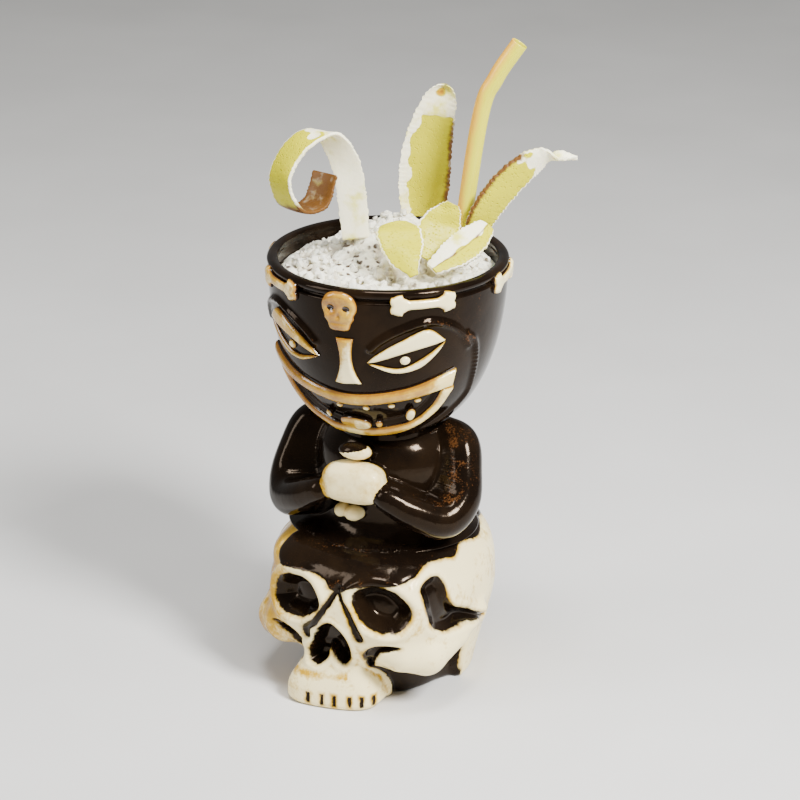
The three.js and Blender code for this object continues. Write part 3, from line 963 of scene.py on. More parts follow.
    def build_little_skull(self) -> None:
        """Lays the small skull: an ellipse that narrows to a jaw, with two sockets, a nose and a row of teeth."""
        half = np.array([(0, -9.2), (2.3, -9.1), (3.8, -8.3), (4.5, -6.2), (5.6, -4.4), (5.7, -3.0), (6.7, -0.6),
                         (6.5, 2.0),
                         (4.9, 4.6), (2.4, 5.8), (0, 6.0)])
        ring = smooth_line(np.concatenate([half, half[-2:0:-1] * [-1, 1], half[:1]]), 97)[:-1]
        spots = disc(ring, 30) + [0, self.bone_height - 1.8]
        u, v = spots[..., 0], spots[..., 1] - self.bone_height + 1.8
        sockets = np.exp(-(((np.abs(u) - 2.9) / 1.9) ** 2 + ((v + 0.1) / 1.5) ** 2))
        nose = np.exp(-((u / 0.7) ** 2 + ((v + 3.1) / 0.9) ** 2))
        teeth = np.exp(-(((v + 5.8) / 0.35) ** 2)) * (np.abs(u) < 3.4)
        cheeks = np.exp(-(((np.abs(u) - 4.4) / 1.2) ** 2 + ((v + 3.2) / 1.2) ** 2))
        relief = 0.5 * cheeks - 1.3 * sockets - 0.7 * nose - 0.25 * teeth
        # Painted light: the little skull is made paler towards its right side.
        self.lay("little_skull", spots, 2.0, 2.2, self.finishes.cream, "cream_glaze", 0.80 - 0.3 * ease(u, 0, 5),
                 relief,
                 1.1 * ease(sockets, 0.3, 0.75) + 0.35 * nose, True)

    def build_nose(self) -> None:
        """Lays the long nose: a flat top, a narrow waist and a flared foot."""
        heights = np.array([-9.3, -8.2, -4.5, 0, 4.5, 8.2, 9.3])
        halves = np.array([5.7, 5.0, 3.35, 2.5, 2.6, 3.2, 3.4])
        base = self.flat([(2.2, 144)])[0]
        left = np.stack([-halves, heights], -1) + base
        right = np.stack([halves, heights], -1) + base
        spots = band(left, right, 60, 26)
        rise = 1.1 * (1 - ease(spots[..., 1], 132, 142)) * np.exp(-((spots[..., 0] / 3.4) ** 2))
        # Painted shade: the nose is made more amber on its left side, away from the light; it is also more amber
        # towards its top.
        amber_and_shade = 0.55 * ease(spots[..., 1], 139, 151) - 0.08 + 0.3 * ease(-spots[..., 0], -2.5, 1)
        self.lay("nose", spots, 1.7, 1.5, self.finishes.cream, "cream_glaze", amber_and_shade, rise)

    def build_eyes(self) -> None:
        """Lays the lids as bands between their two edges, and a domed pupil in each gap."""
        lid_low = ((12.4, 143.9), (17.5, 144.6), (32.3, 148.3), (48, 151), (51.2, 152.0))
        lid_high = ((12.4, 143.9), (17.5, 147.6), (27.3, 152.4), (41.5, 157.0), (51.2, 152.0))
        under_low = ((12.9, 143.6), (25.5, 139.9), (37.8, 141.2), (46.5, 146.4), (51.4, 151.6))
        under_high = ((12.9, 143.6), (16.5, 143.5), (29, 141.9), (39.5, 145.4), (51.4, 151.6))
        for side in Side:
            # Painted shade: the left eye's lids and pupil are made more amber, the right eye's paler.
            amber_and_shade = 0.34 if side is Side.LEFT else -0.08
            lid = band(self.flat(lid_low, side.value), self.flat(lid_high, side.value), 70, 24)
            self.lay(f"upper_eyelid_{side.word}", lid, 1.7, 1.6, self.finishes.cream, "cream_glaze", amber_and_shade)
            under = band(self.flat(under_low, side.value), self.flat(under_high, side.value), 70, 16)
            self.lay(f"lower_eyelid_{side.word}", under, 1.4, 1.1, self.finishes.cream, "cream_glaze", amber_and_shade + 0.08)
            dot = disc(ellipse(tuple(self.flat([(31.2, 145.0)], side.value)[0]), 2.0, 1.75), 12)
            self.lay(f"pupil_{side.word}", dot, 1.3, 1.4, self.finishes.cream, "cream_glaze", amber_and_shade - 0.35, closed=True)

    def build_grin(self) -> None:
        """Lays the two lips as rolled bands that meet at the corners, and the pegs of teeth in the gap."""
        top = ((59.4, 139.1), *self.lip_top[1:-1], (-59.4, 139.1))
        gap = ((59.2, 131.6), (56.2, 131.2), *self.lip_gap, (-56.2, 131.2), (-59.2, 131.6))
        upper = band(self.flat(gap), self.flat(top), 190, 26)
        # Painted light: the right end of the upper lip is made cream.
        corner = ease(np.abs(upper[..., 0]), 30, 44)
        self.lay("upper_lip", upper, 2.3, 2.3, self.finishes.amber, "amber_glaze",
                 0.62 - 0.68 * corner * (upper[..., 0] > 0))
        chin = ((60.6, 131.4), *self.chin[1:-1], (-60.6, 131.4))
        floor = ((53.2, 131.4), *self.floor[1:-1], (-53.2, 131.4))
        lower = band(self.flat(chin), self.flat(floor), 190, 22)
        u = lower[..., 0]
        # Painted highlights: cream patches at the middle and the right end of the lower lip.
        pale = 0.5 * np.exp(-(((u + 3) / 8) ** 2)) + 0.4 * ease(u, 22, 34)
        lump = 0.5 * np.exp(-(((u + 14) / 5) ** 2))
        self.lay("lower_lip", lower, 2.2, 1.9, self.finishes.amber, "amber_glaze", 0.60 - pale, lump)
        for number, (angle, z) in enumerate(((-7, 123), (10, 123.2), (25, 124.7), (40, 126.7)), 1):
            peg = disc(ellipse(tuple(self.flat([(angle, z)])[0]), 1.7, 1.15, 28), 9)
            self.lay(f"upper_tooth_{number}", peg, 0.9, 0.9, self.finishes.cream, "cream_glaze", 0.25, -0.3,
                     closed=True)
        for number, (angle, z, wide, high, amber_and_shade) in enumerate(self.lower_teeth, 1):
            middle = self.flat([(angle, z)])[0]
            peg = disc(ellipse(tuple(middle), wide, high, 48), 14)
            # Painted light: the wide lip mound is made paler on its right half.
            tint = amber_and_shade - 0.35 * ease(peg[..., 0] - middle[0], -1.5, 1.5) * (wide > 3)
            name = f"lower_tooth_{number}" if number < 4 else "lip_mound"
            self.lay(name, peg, 1.4, min(wide, high) * 0.8, self.finishes.cream, "cream_glaze", tint, 0.0, closed=True)

    def build(self) -> None:
        """Makes the bowl and everything laid on it."""
        self.build_bowl()
        self.build_bones()
        self.build_little_skull()
        self.build_nose()
        self.build_eyes()
        self.build_grin()


# ---- the torso ----


@dataclass
class Torso:
    """The crouched body: a waisted drum, two folded arms and a clasped pair of hands, cast as one hollow form."""

    finishes: Finishes
    width_ratio: float = 1.18
    outside: tuple = ((30, 62.0), (27.6, 65.5), (24.6, 70), (23.8, 78), (24.2, 88), (23.4, 95), (21.5, 100),
                      (18.5, 104))
    inside: tuple = ((14.5, 103), (17, 98), (19.6, 90), (19.4, 78), (20.2, 70), (23, 62.6))
    arm: tuple = ((23.5, 3, 102.0, 5.6), (31, -0.5, 99.0, 7.2), (34.6, -6.0, 90, 7.0), (35.8, -11.5, 80.5, 7.2),
                  (31.8, -19.5, 75.4, 7.2), (23, -26.5, 79.6, 6.4), (13.6, -31, 85.8, 5.2))
    foot: float = 62.6
    hem: tuple = ((-2.0, 0, 62.0), (38.0, 33.5, 5.2))
    fist: tuple = ((-1, -30.5, 89.9), (12.4, 6.4, 7.7))
    squareness: float = 3.1
    thumb: tuple = ((-1.4, -28.6, 102.0), (6.6, 4.4, 3.4))
    fingers: tuple = (((-7.8, -26.4, 75.9), (2.9, 3.8, 2.9)), ((-2.6, -26.9, 75.3), (3.9, 3.8, 2.9)))
    columns: int = 490
    rows: int = 168

    def drum(self, p: Array) -> Array:
        """Distance to the waisted drum: the flattened radius less the profile at that height.

        Args:
            p: points in millimetres.

        Returns:
            The signed distance at each point.
        """
        profile = smooth_line(self.outside, 80)
        reach = np.interp(p[..., 2], profile[:, 1], profile[:, 0])
        return (np.hypot(p[..., 0] / self.width_ratio, p[..., 1]) - reach) * 0.9

    def body(self, p: Array) -> Array:
        """Distance to the torso: the drum joined softly to the arms, the hem and the hands, cut off under the head.

        Args:
            p: points in millimetres.

        Returns:
            The signed distance at each point.
        """
        whole = blend_min(self.drum(p), self.arms(p), 1.3)
        whole = blend_min(whole, ball_field(p, *self.hem), 1.6)
        whole = blend_min(whole, self.hands(p), 0.7)
        under_head = p[..., 2] - 103.6 - np.clip((np.hypot(p[..., 0], p[..., 1]) - 20) * 1.25, 0, 14)
        return np.maximum(whole, under_head * 0.7)

    def arms(self, p: Array) -> Array:
        """Distance to the two folded arms, each a limb along a smooth route.

        Args:
            p: points in millimetres.

        Returns:
            The signed distance at each point.
        """
        route = smooth_line(self.arm, 33)
        right, left = route + [-1.0, 0, 0, 0], route * [-1, 1, 1, 1] + [-1.2, 0, -1.0, 0]
        return np.minimum(limb_field(p, right), limb_field(p, left))

    def hands(self, p: Array) -> Array:
        """Distance to the clasped hands: a squared fist, a thumb over it and two finger ends under it.

        Args:
            p: points in millimetres.

        Returns:
            The signed distance at each point.
        """
        q = p - np.array(self.fist[0], float)
        radii = np.array(self.fist[1], float)
        share = (np.abs(q / radii) ** self.squareness).sum(-1) ** (1 / self.squareness)
        ends = np.minimum(*(ball_field(p, *finger) for finger in self.fingers))
        thumb = ball_field(p, *self.thumb)
        fist = (share - 1) * 6.6
        return np.minimum(np.minimum(fist, ends), thumb)

    def build(self) -> None:
        """Makes the torso: rays from the axis that tilt up from level, each stopped at the outermost skin."""
        turn, origins, rays = ray_fan(self.columns, self.rows, self.foot, 25.4, 0.6, 43)
        skin = soften(cast_inward(origins, rays, FAR, self.body), 3)
        crest = crest_of(skin, 3)
        pale = np.clip(0.9 - self.hands(skin) * 2.5, -4, 4)
        pale = np.where((self.arms(skin) < 0.35) & (skin[..., 0] > 4), -4.0, pale)
        pale = np.where((skin[..., 2] > 103.3 + 0.22 * skin[..., 0]) & (skin[..., 2] > 99), -3.0, pale)
        inward = -self.hands(skin)
        thin = 0.8 * np.clip(crest * 5, 0, 1) * ease(skin[..., 0], 8, 30) + 0.06
        # Painted shade: the left side of the hands is made more amber.
        tan = np.clip(0.55 - 0.12 * (skin[..., 0] + 12), 0, 0.7) * (skin[..., 0] < -6) + 0.05 - 0.06 * inward
        profile = smooth_line(self.inside, 30)
        wall = around_axis(profile[:, :1], turn, profile[:, 1:], self.width_ratio)
        points = np.concatenate([skin, wall])
        blank = np.zeros(wall.shape[:2])
        marks = {"pale": np.concatenate([pale, blank - 4]), "thin": np.concatenate([thin, blank]),
                 "tan": np.concatenate([tan, blank])}
        torso = make_piece("torso_with_arms", points, grid_faces(len(points), self.columns, True, True), marks)
        settle(torso, "mug", "black_glaze", self.finishes.torso, "torso", "arm_left", "arm_right", "clasped_hands",
               "thumb", "finger_1", "finger_2")


# ---- the skull foot ----


@dataclass
class Skull:
    """The skull that the mug stands on: a squared dome, cheekbones and a toothed jaw in one hollow form.

    It is turned a little about the axis. Places on it are [degrees from its own front, height], and
    its sockets, grooves and glaze lines are outlines of such places.
    """

    finishes: Finishes
    half_width: float = 40.0
    half_depth: float = 47.5
    yaw: float = math.radians(-5.5)
    skin_radius: float = 44.0
    shares: tuple = ((0.79, 0.0), (0.82, 2), (0.86, 10), (0.92, 20), (0.97, 28), (1.0, 36), (1.0, 44), (0.975, 50),
                     (0.93, 55), (0.84, 59.5), (0.70, 62.8), (0.45, 64.4))
    inner_shares: tuple = ((0.45, 62.0), (0.58, 56), (0.66, 50), (0.70, 44), (0.70, 36), (0.66, 24), (0.56, 10),
                           (0.5, 4))
    arch: tuple = ((15, -38.5, 31, 5.0), (24, -34.0, 25, 7.6), (30.5, -26, 22.5, 8.6), (35.5, -13, 26.5, 6.2),
                   (37.6, 2, 31.5, 4.0))
    left_socket: tuple = ((-33.5, 46), (-30, 50), (-25, 52.2), (-18, 52.8), (-12, 51.6), (-8, 48.8), (-5.5, 45),
                          (-6, 42),
                          (-9, 39.6), (-14, 36.8), (-19, 36), (-26, 36), (-31, 37.3), (-34.5, 40.5))
    right_socket: tuple = ((12, 51.5), (17, 54), (22, 54.8), (29, 53.8), (34, 51.3), (38, 47.5), (39.3, 44.5),
                           (38.2, 41),
                           (35, 38), (31, 36.5), (26, 36.8), (21, 38.1), (17, 40.4), (14, 44), (11.3, 48))
    nose: tuple = ((-12, 18), (-13, 21.4), (-11, 26.5), (-7, 32.9), (-3, 36.3), (0, 37.2), (3, 36.4), (7, 33.4),
                   (9.3, 29.5),
                   (10.2, 25), (8.5, 20.6), (6, 18.6), (3.6, 18.8), (1, 21.2), (-0.8, 25.2), (-2, 22.6), (-4, 19.6),
                   (-8, 17.2))
    temple: tuple = ((44, 52), (47, 54.6), (52, 55.6), (56, 54.8), (59, 51.5), (60, 47), (62.5, 43), (66, 40.6),
                     (74, 37.5),
                     (89, 31.6), (108, 24), (88, 28.6), (73, 31.8), (64, 31.4), (57, 32.2), (52, 34.3), (49, 37),
                     (47, 42), (45.5, 47))
    slit: tuple = ((17, 26.5), (21, 30), (27, 31), (34.5, 29.8), (29, 28.4), (25, 27), (22.5, 23), (20.5, 17.5),
                   (17.5, 17.5), (17, 22))
    forehead: tuple = ((-190, 59), (-160, 57.2), (-140, 59.6), (-118, 58.8), (-98, 60.5), (-84, 63.6), (-72, 64.5),
                       (-58, 65),
                       (-45, 63.8), (-41.5, 61.4), (-38.5, 58), (-34, 55.2), (-29, 54.2), (-21, 54.9), (-11, 55.2),
                       (-4, 54),
                       (0, 51.3), (5, 50.4), (11, 53.2), (17, 54.0), (21, 54.4), (27, 54.8), (36, 55.8), (41, 56.7),
                       (48, 59.1),
                       (54, 59.8), (65, 59), (73, 57.8), (79, 59.3), (87, 60.4), (97, 59.1), (111, 57.9), (130, 59.4),
                       (148, 56.6), (165, 60), (190, 59), (190, 80), (-190, 80))
    brow_gap: tuple = ((6, 51), (11.5, 52.4), (11.5, 49.3), (10, 46.4), (7.5, 47.3), (6, 49.3))
    below: tuple = ((16.5, 27), (17.5, 16.4), (21.5, 12.4), (27, 7.8), (30, 2.9), (31, -4), (88, -4), (87.5, 8),
                    (87, 18),
                    (82, 22), (74, 20.5), (62, 16.5), (49, 13.6), (38, 13.0), (30, 14.8), (24, 17.6), (19.5, 18.5))
    groove_left: tuple = ((4, 52.4), (1, 47.4), (-3, 42.1), (-7, 37), (-12, 33.1), (-13, 29.6))
    groove_right: tuple = ((4, 50.8), (8, 46.1), (11, 41.5), (13, 37.7), (15, 33.2))
    tooth_gaps: tuple = (-7.8, -2.9, 1.7, 7.3, 11.8, 16.1)
    columns: int = 560
    rows: int = 148

    def shell(self, p: Array) -> Array:
        """Distance to the dome: a superellipse whose exponent grows towards the squared face, scaled by height.

        Args:
            p: points in millimetres.

        Returns:
            The signed distance at each point.
        """
        r = np.maximum(np.hypot(p[..., 0], p[..., 1]), 1e-6)
        side, front = np.abs(p[..., 0]) / r, -p[..., 1] / r
        ahead = np.clip(front, 0, 1)
        power = 2.1 + 0.9 * ahead
        profile = smooth_line(self.shares, 120)
        share = np.interp(p[..., 2], profile[:, 1], profile[:, 0])
        share = share - 0.2 * np.sqrt(ahead) * np.clip((24 - p[..., 2]) / 12, 0, 1)
        share = share + 0.06 * ease(-p[..., 0] / r, 0.3, 0.8) * ease(p[..., 2], 49, 57)
        around = ((side / self.half_width) ** power + (np.abs(front) / self.half_depth) ** power) ** (-1 / power)
        return (r - share * around) * 0.8

    def cheekbones(self, p: Array) -> Array:
        """Distance to the two cheekbones, each a tapered arch from beside the nose to the temple.

        Args:
            p: points in millimetres.

        Returns:
            The signed distance at each point.
        """
        right = np.array(self.arch, float)
        left = right * [-1, 1, 1, 1] + [-2.4, 0.4, 1.5, 1.0]
        return np.minimum(limb_field(p, right), limb_field(p, left))

    def jaw(self, p: Array) -> Array:
        """Distance to the toothed jaw: a rounded block, widest at the teeth and drawn in towards the nose.

        Args:
            p: points in millimetres.

        Returns:
            The signed distance at each point.
        """
        z = p[..., 2]
        share = 1.0 - 0.34 * ease(z, 5.5, 21) - 0.10 * ease(-z, -2.5, 0.5)
        ahead = p[..., 1] + 38 - 0.18 * (p[..., 0] + 2.2)
        deep = np.where(ahead < 0, 10.0, 19.0)
        round_off = ((np.abs(p[..., 0] + 2.2) / 18.0) ** 2.8 + (np.abs(ahead) / deep) ** 2.8) ** (1 / 2.8)
        return np.maximum((round_off - share) * 9.0, (z - 25) * 0.8)

    def body(self, p: Array) -> Array:
        """Distance to the whole form before its hollows are sunk."""
        whole = blend_min(self.shell(p), self.cheekbones(p), 3.0)
        return blend_min(whole, self.jaw(p), 2.4)

    def patch(self, spots: Array, places: Outline, side: int = 1) -> Array:
        """Signed depth in millimetres inside a patch, mirrored to the other side where side is -1.

        Args:
            spots: the places asked about, the last axis holding the two numbers.
            places: the spots on the skull, in degrees and height.
            side: 1 for the patch as given, or -1 for its mirror image.

        Returns:
            The signed depth at each place.
        """
        ring = np.asarray(places, float) * [side, 1]
        closed = smooth_line(np.vstack([ring[-2:], ring, ring[:3]]), 6 * (len(ring) + 4) + 1)[12:-18]
        flat = np.stack([np.radians(closed[:, 0]) * self.skin_radius, closed[:, 1]], -1)
        return paint(spots, flat)

    def line(self, spots: Array, places: Outline, start: float, stop: float) -> Array:
        """Signed depth in millimetres inside a line whose half width goes from start to stop along it.

        Args:
            spots: the places asked about, the last axis holding the two numbers.
            places: the spots on the skull, in degrees and height.
            start: the line's half width where it begins.
            stop: its half width where it ends.

        Returns:
            The signed depth at each place.
        """
        route = smooth_line(places, 50)
        flat = np.stack([np.radians(route[:, 0]) * self.skin_radius, route[:, 1]], -1)
        half = np.linspace(start, stop, 50)
        return (half - np.linalg.norm(spots[..., None, :] - flat, axis=-1)).max(-1)

    def build(self) -> None:
        """Makes the skull: the outermost skin along rays, its hollows sunk, the wall inside and the floors."""
        turn, origins, rays = ray_fan(self.columns, self.rows, 0.0, 44.0, 0.68, 38)
        skin = cast_inward(origins, rays, FAR, self.body)
        spots = np.stack([np.arctan2(skin[..., 0], -skin[..., 1]) * self.skin_radius, skin[..., 2]], -1)
        sockets = np.maximum(self.patch(spots, self.left_socket), self.patch(spots, self.right_socket))
        nose = self.patch(spots, self.nose)
        temples = np.maximum(self.patch(spots, self.temple), self.patch(spots, np.add(self.temple, [20, 0]), -1))
        slits = np.maximum(self.patch(spots, self.slit), self.patch(spots, self.slit, -1))
        below = np.maximum(self.patch(spots, self.below), self.patch(spots, self.below, -1))
        grooves = np.maximum(self.line(spots, self.groove_left, 0.9, 1.7),
                             self.line(spots, self.groove_right, 0.9, 1.7))
        forehead = self.patch(spots, self.forehead)
        gap = np.abs(spots[..., 0:1] - np.array(self.tooth_gaps)).min(-1)
        ends = np.minimum(skin[..., 2] - 1.6, 6.2 - skin[..., 2]) * 0.7
        gaps = np.where(skin[..., 1] < -32, np.minimum(0.62 - gap, ends), -4.0)
        on_jaw = ease(-self.jaw(skin), -1.2, -0.2)
        sunk = 8.0 * ease(sockets, -1.2, 5.0) + 6.0 * ease(nose, -0.8, 2.6) + 4.0 * ease(temples, -1.2, 3.6)
        sunk += 3.2 * ease(slits, -0.6, 1.6) + 1.6 * ease(grooves, -0.9, 1.2) + 1.0 * ease(gaps, -0.3, 0.6)
        sunk += 2.5 * ease(below, -1.0, 3.0) * (1 - on_jaw) - 0.4 * ease(forehead, -0.5, 0.9)
        sunk -= 1.1 * np.exp(-(((sockets + 2.2) / 1.7) ** 2)) + 0.5 * np.exp(-(((nose + 1.4) / 1.1) ** 2))
        sunk -= 0.5 * np.exp(-(((temples + 1.9) / 1.5) ** 2))
        sunk += 0.35 * ripple(spots[..., 0], spots[..., 1], 26, 9)
        final = skin - rays * sunk[..., None]
        black = np.max([sockets, nose, temples, slits, grooves, forehead, gaps * 1.2,
                        np.where(on_jaw > 0.5, -4.0, below)], axis=0)
        pale = np.maximum(-black, self.patch(spots, self.brow_gap) - 0.2)
        crest = crest_of(final, 3)
        angle = spots[..., 0] / self.skin_radius
        # Painted shade: the skull's left side, away from the light, is made more amber.
        left = ease(-angle, 0.25, 0.75) * ease(-np.abs(angle), -2.2, -1.4)
        tan = 0.12 + 0.5 * left + 0.16 * ripple(spots[..., 0], spots[..., 1], 24, 12) + 1.2 * np.clip(-crest, 0, 0.3)
        tan += 0.35 * np.exp(-(((spots[..., 1] - 13.5) / 1.6) ** 2)) * on_jaw * (skin[..., 0] < 6)
        tan += 0.10 * ease(np.abs(angle), 1.2, 2.2)
        profile = smooth_line(self.inner_shares, 24)
        around = np.stack([self.half_width * np.sin(turn), -self.half_depth * np.cos(turn)], -1)
        wall = np.concatenate([profile[:, :1, None] * around, np.broadcast_to(profile[:, 1:, None],
                                                                              (24, self.columns, 1))], -1)
        base, cap = np.zeros((1, self.columns, 3)), np.zeros((1, self.columns, 3))
        cap[..., 2] = profile[-1, 1]
        foot = final[:1] * [0.975, 0.975, 0]
        final[0, :, 2] = 0.6
        points = turned(np.concatenate([base, foot, final, wall, cap]), self.yaw)
        blank = np.zeros((25, self.columns))
        lead = np.zeros((2, self.columns))
        marks = {"pale": np.concatenate([lead - 2, pale, blank - 4]), "tan": np.concatenate([lead, tan, blank]),
                 "thin": np.concatenate([lead, np.clip(crest * 3, 0, 0.5) + 0.1, blank])}
        skull = make_piece("skull_foot", points, grid_faces(len(points), self.columns, False, True), marks)
        teeth = [f"skull_tooth_{number}" for number in range(1, 9)]
        settle(skull, "mug", "cream_glaze", self.finishes.skull, "skull", "cheekbone_left", "cheekbone_right",
               "upper_jaw", *teeth)


# ---- what the mug is served with ----


@dataclass
class Ice:
    """Crushed ice heaped in the mouth: a mounded sheet with loose chips pressed into it."""

    finishes: Finishes
    foot: float = 150.0
    level: float = 167.5
    heap: float = 16.0
    edge: float = 41.0
    chips: int = 420
    columns: int = 260
    rings: int = 110
    half_span: float = 46.0
    bell: tuple = ((0.6, 9), (19, 15))
    spice_centre: tuple = (-17, -15)
    spice_spread: float = 13.0
    chip_reach: float = 38.5

    def top(self, x: Array, y: Array) -> Array:
        """The heap's height: a level, plus a bell behind the middle, less a fall towards the wall."""
        (cx, cy), (wide, deep) = self.bell
        bell = self.heap * np.exp(-(((x - cx) / wide) ** 2) - ((y - cy) / deep) ** 2)
        return self.level + bell - 0.02 * np.maximum(np.hypot(x, y) - 30, 0) ** 2

    def lumps(self, x: Array, y: Array, seed: int, pitch: float) -> Array:
        """Rounded lumps: one less the distance to the nearest of seeded points over the pitch, to the power 1.6.

        Args:
            x: first coordinates.
            y: second coordinates.
            seed: the seed of the draws.
            pitch: how far apart the lumps are.

        Returns:
            The height at each place.
        """
        rng = np.random.default_rng(seed)
        span = 2 * self.half_span
        places = rng.uniform(-self.half_span, self.half_span, (int(span**2 / pitch**2), 2))
        gap = np.full(x.shape, 1e9)
        for place in places:
            gap = np.minimum(gap, (x - place[0]) ** 2 + (y - place[1]) ** 2)
        return 1 - np.clip(np.sqrt(gap) / pitch, 0, 1) ** 1.6

    def build(self) -> None:
        """Makes the plug of ice: rings of a polar grid, over the top and down the side to a closed foot."""
        turn = np.linspace(-np.pi, np.pi, self.columns, endpoint=False)[None]
        f = np.sqrt(np.linspace(0, 1, self.rings))[:, None]
        x, y = self.edge * f * np.sin(turn), -self.edge * f * np.cos(turn)
        big, small = self.lumps(x, y, 3, 6.4), self.lumps(x, y, 4, 2.7)
        fade = 1 - ease(f, 0.94, 1.0)
        z = self.top(x, y) + (2.3 * (big - 0.55) + 1.3 * (small - 0.5)) * fade - 0.4
        # How low each place lies between the lumps, which the ice's finish turns into painted grey shade.
        sunk = (1 - big) * 0.7 + (1 - small) * 0.45
        cx, cy = self.spice_centre
        spice = 0.5 * np.exp(-(((x - cx) / self.spice_spread) ** 2) - ((y - cy) / self.spice_spread) ** 2)
        down = np.linspace(0, 1, 10)[1:, None]
        low = z[-1] + (self.foot - z[-1]) * down
        side = self.edge - 9 * down**2
        skirt = around_axis(side, turn, low)
        middle = np.stack([0 * turn, 0 * turn, self.foot + 0 * turn], -1)
        points = np.concatenate([np.stack([x, y, z], -1), skirt, middle])
        extra = len(points) - len(z)
        marks = {"sunk": np.concatenate([sunk, np.full((extra, self.columns), 0.4)]),
                 "spice": np.concatenate([spice, np.zeros((extra, self.columns))])}
        sheet = make_piece("ice_heap", points, grid_faces(len(points), self.columns, False, True), marks)
        settle(sheet, "ice", "crushed_ice", self.finishes.ice, "ice")
        self.scatter()

    def scatter(self) -> None:
        """Presses loose chips into the heap: each is a cube of eight corners pushed about, turned and scaled."""
        rng = np.random.default_rng(MAIN_SEED)
        reach = self.chip_reach * np.sqrt(rng.uniform(0, 1, self.chips))
        turn = rng.uniform(0, 2 * np.pi, self.chips)
        x, y = reach * np.cos(turn), reach * np.sin(turn)
        size = rng.uniform(0.7, 2.3, self.chips) * rng.uniform(0.7, 1.0, self.chips)
        size *= 1 - 0.35 * (reach > 35)
        z = self.top(x, y) + rng.uniform(-0.6, 1.3, self.chips) - 0.25
        corner = np.array([[i, j, k] for i in (-1, 1) for j in (-1, 1) for k in (-1, 1)], float)
        cubes = corner[None] * rng.uniform(0.45, 1.0, (self.chips, 8, 3))
        spin = np.linalg.qr(rng.normal(size=(self.chips, 3, 3)))[0]
        points = np.einsum("nij,nkj->nki", spin, cubes) * size[:, None, None]
        points += np.stack([x, y, z], -1)[:, None]
        quads = np.array([[0, 1, 3, 2], [4, 6, 7, 5], [0, 4, 5, 1], [2, 3, 7, 6], [0, 2, 6, 4], [1, 5, 7, 3]])
        faces = (quads[None] + 8 * np.arange(self.chips)[:, None, None]).reshape(-1, 4)
        # Each chip takes a random amount of the painted grey shade.
        marks = {"sunk": np.repeat(rng.uniform(-0.1, 0.75, self.chips), 8), "spice": np.zeros(self.chips * 8)}
        chips = make_piece("ice_chips", points, faces, marks)
        bevel = chips.modifiers.new("worn_edges", "BEVEL")
        bevel.width, bevel.segments, bevel.limit_method = 0.00022, 2, "NONE"
        settle(chips, "ice", "crushed_ice", self.finishes.ice)


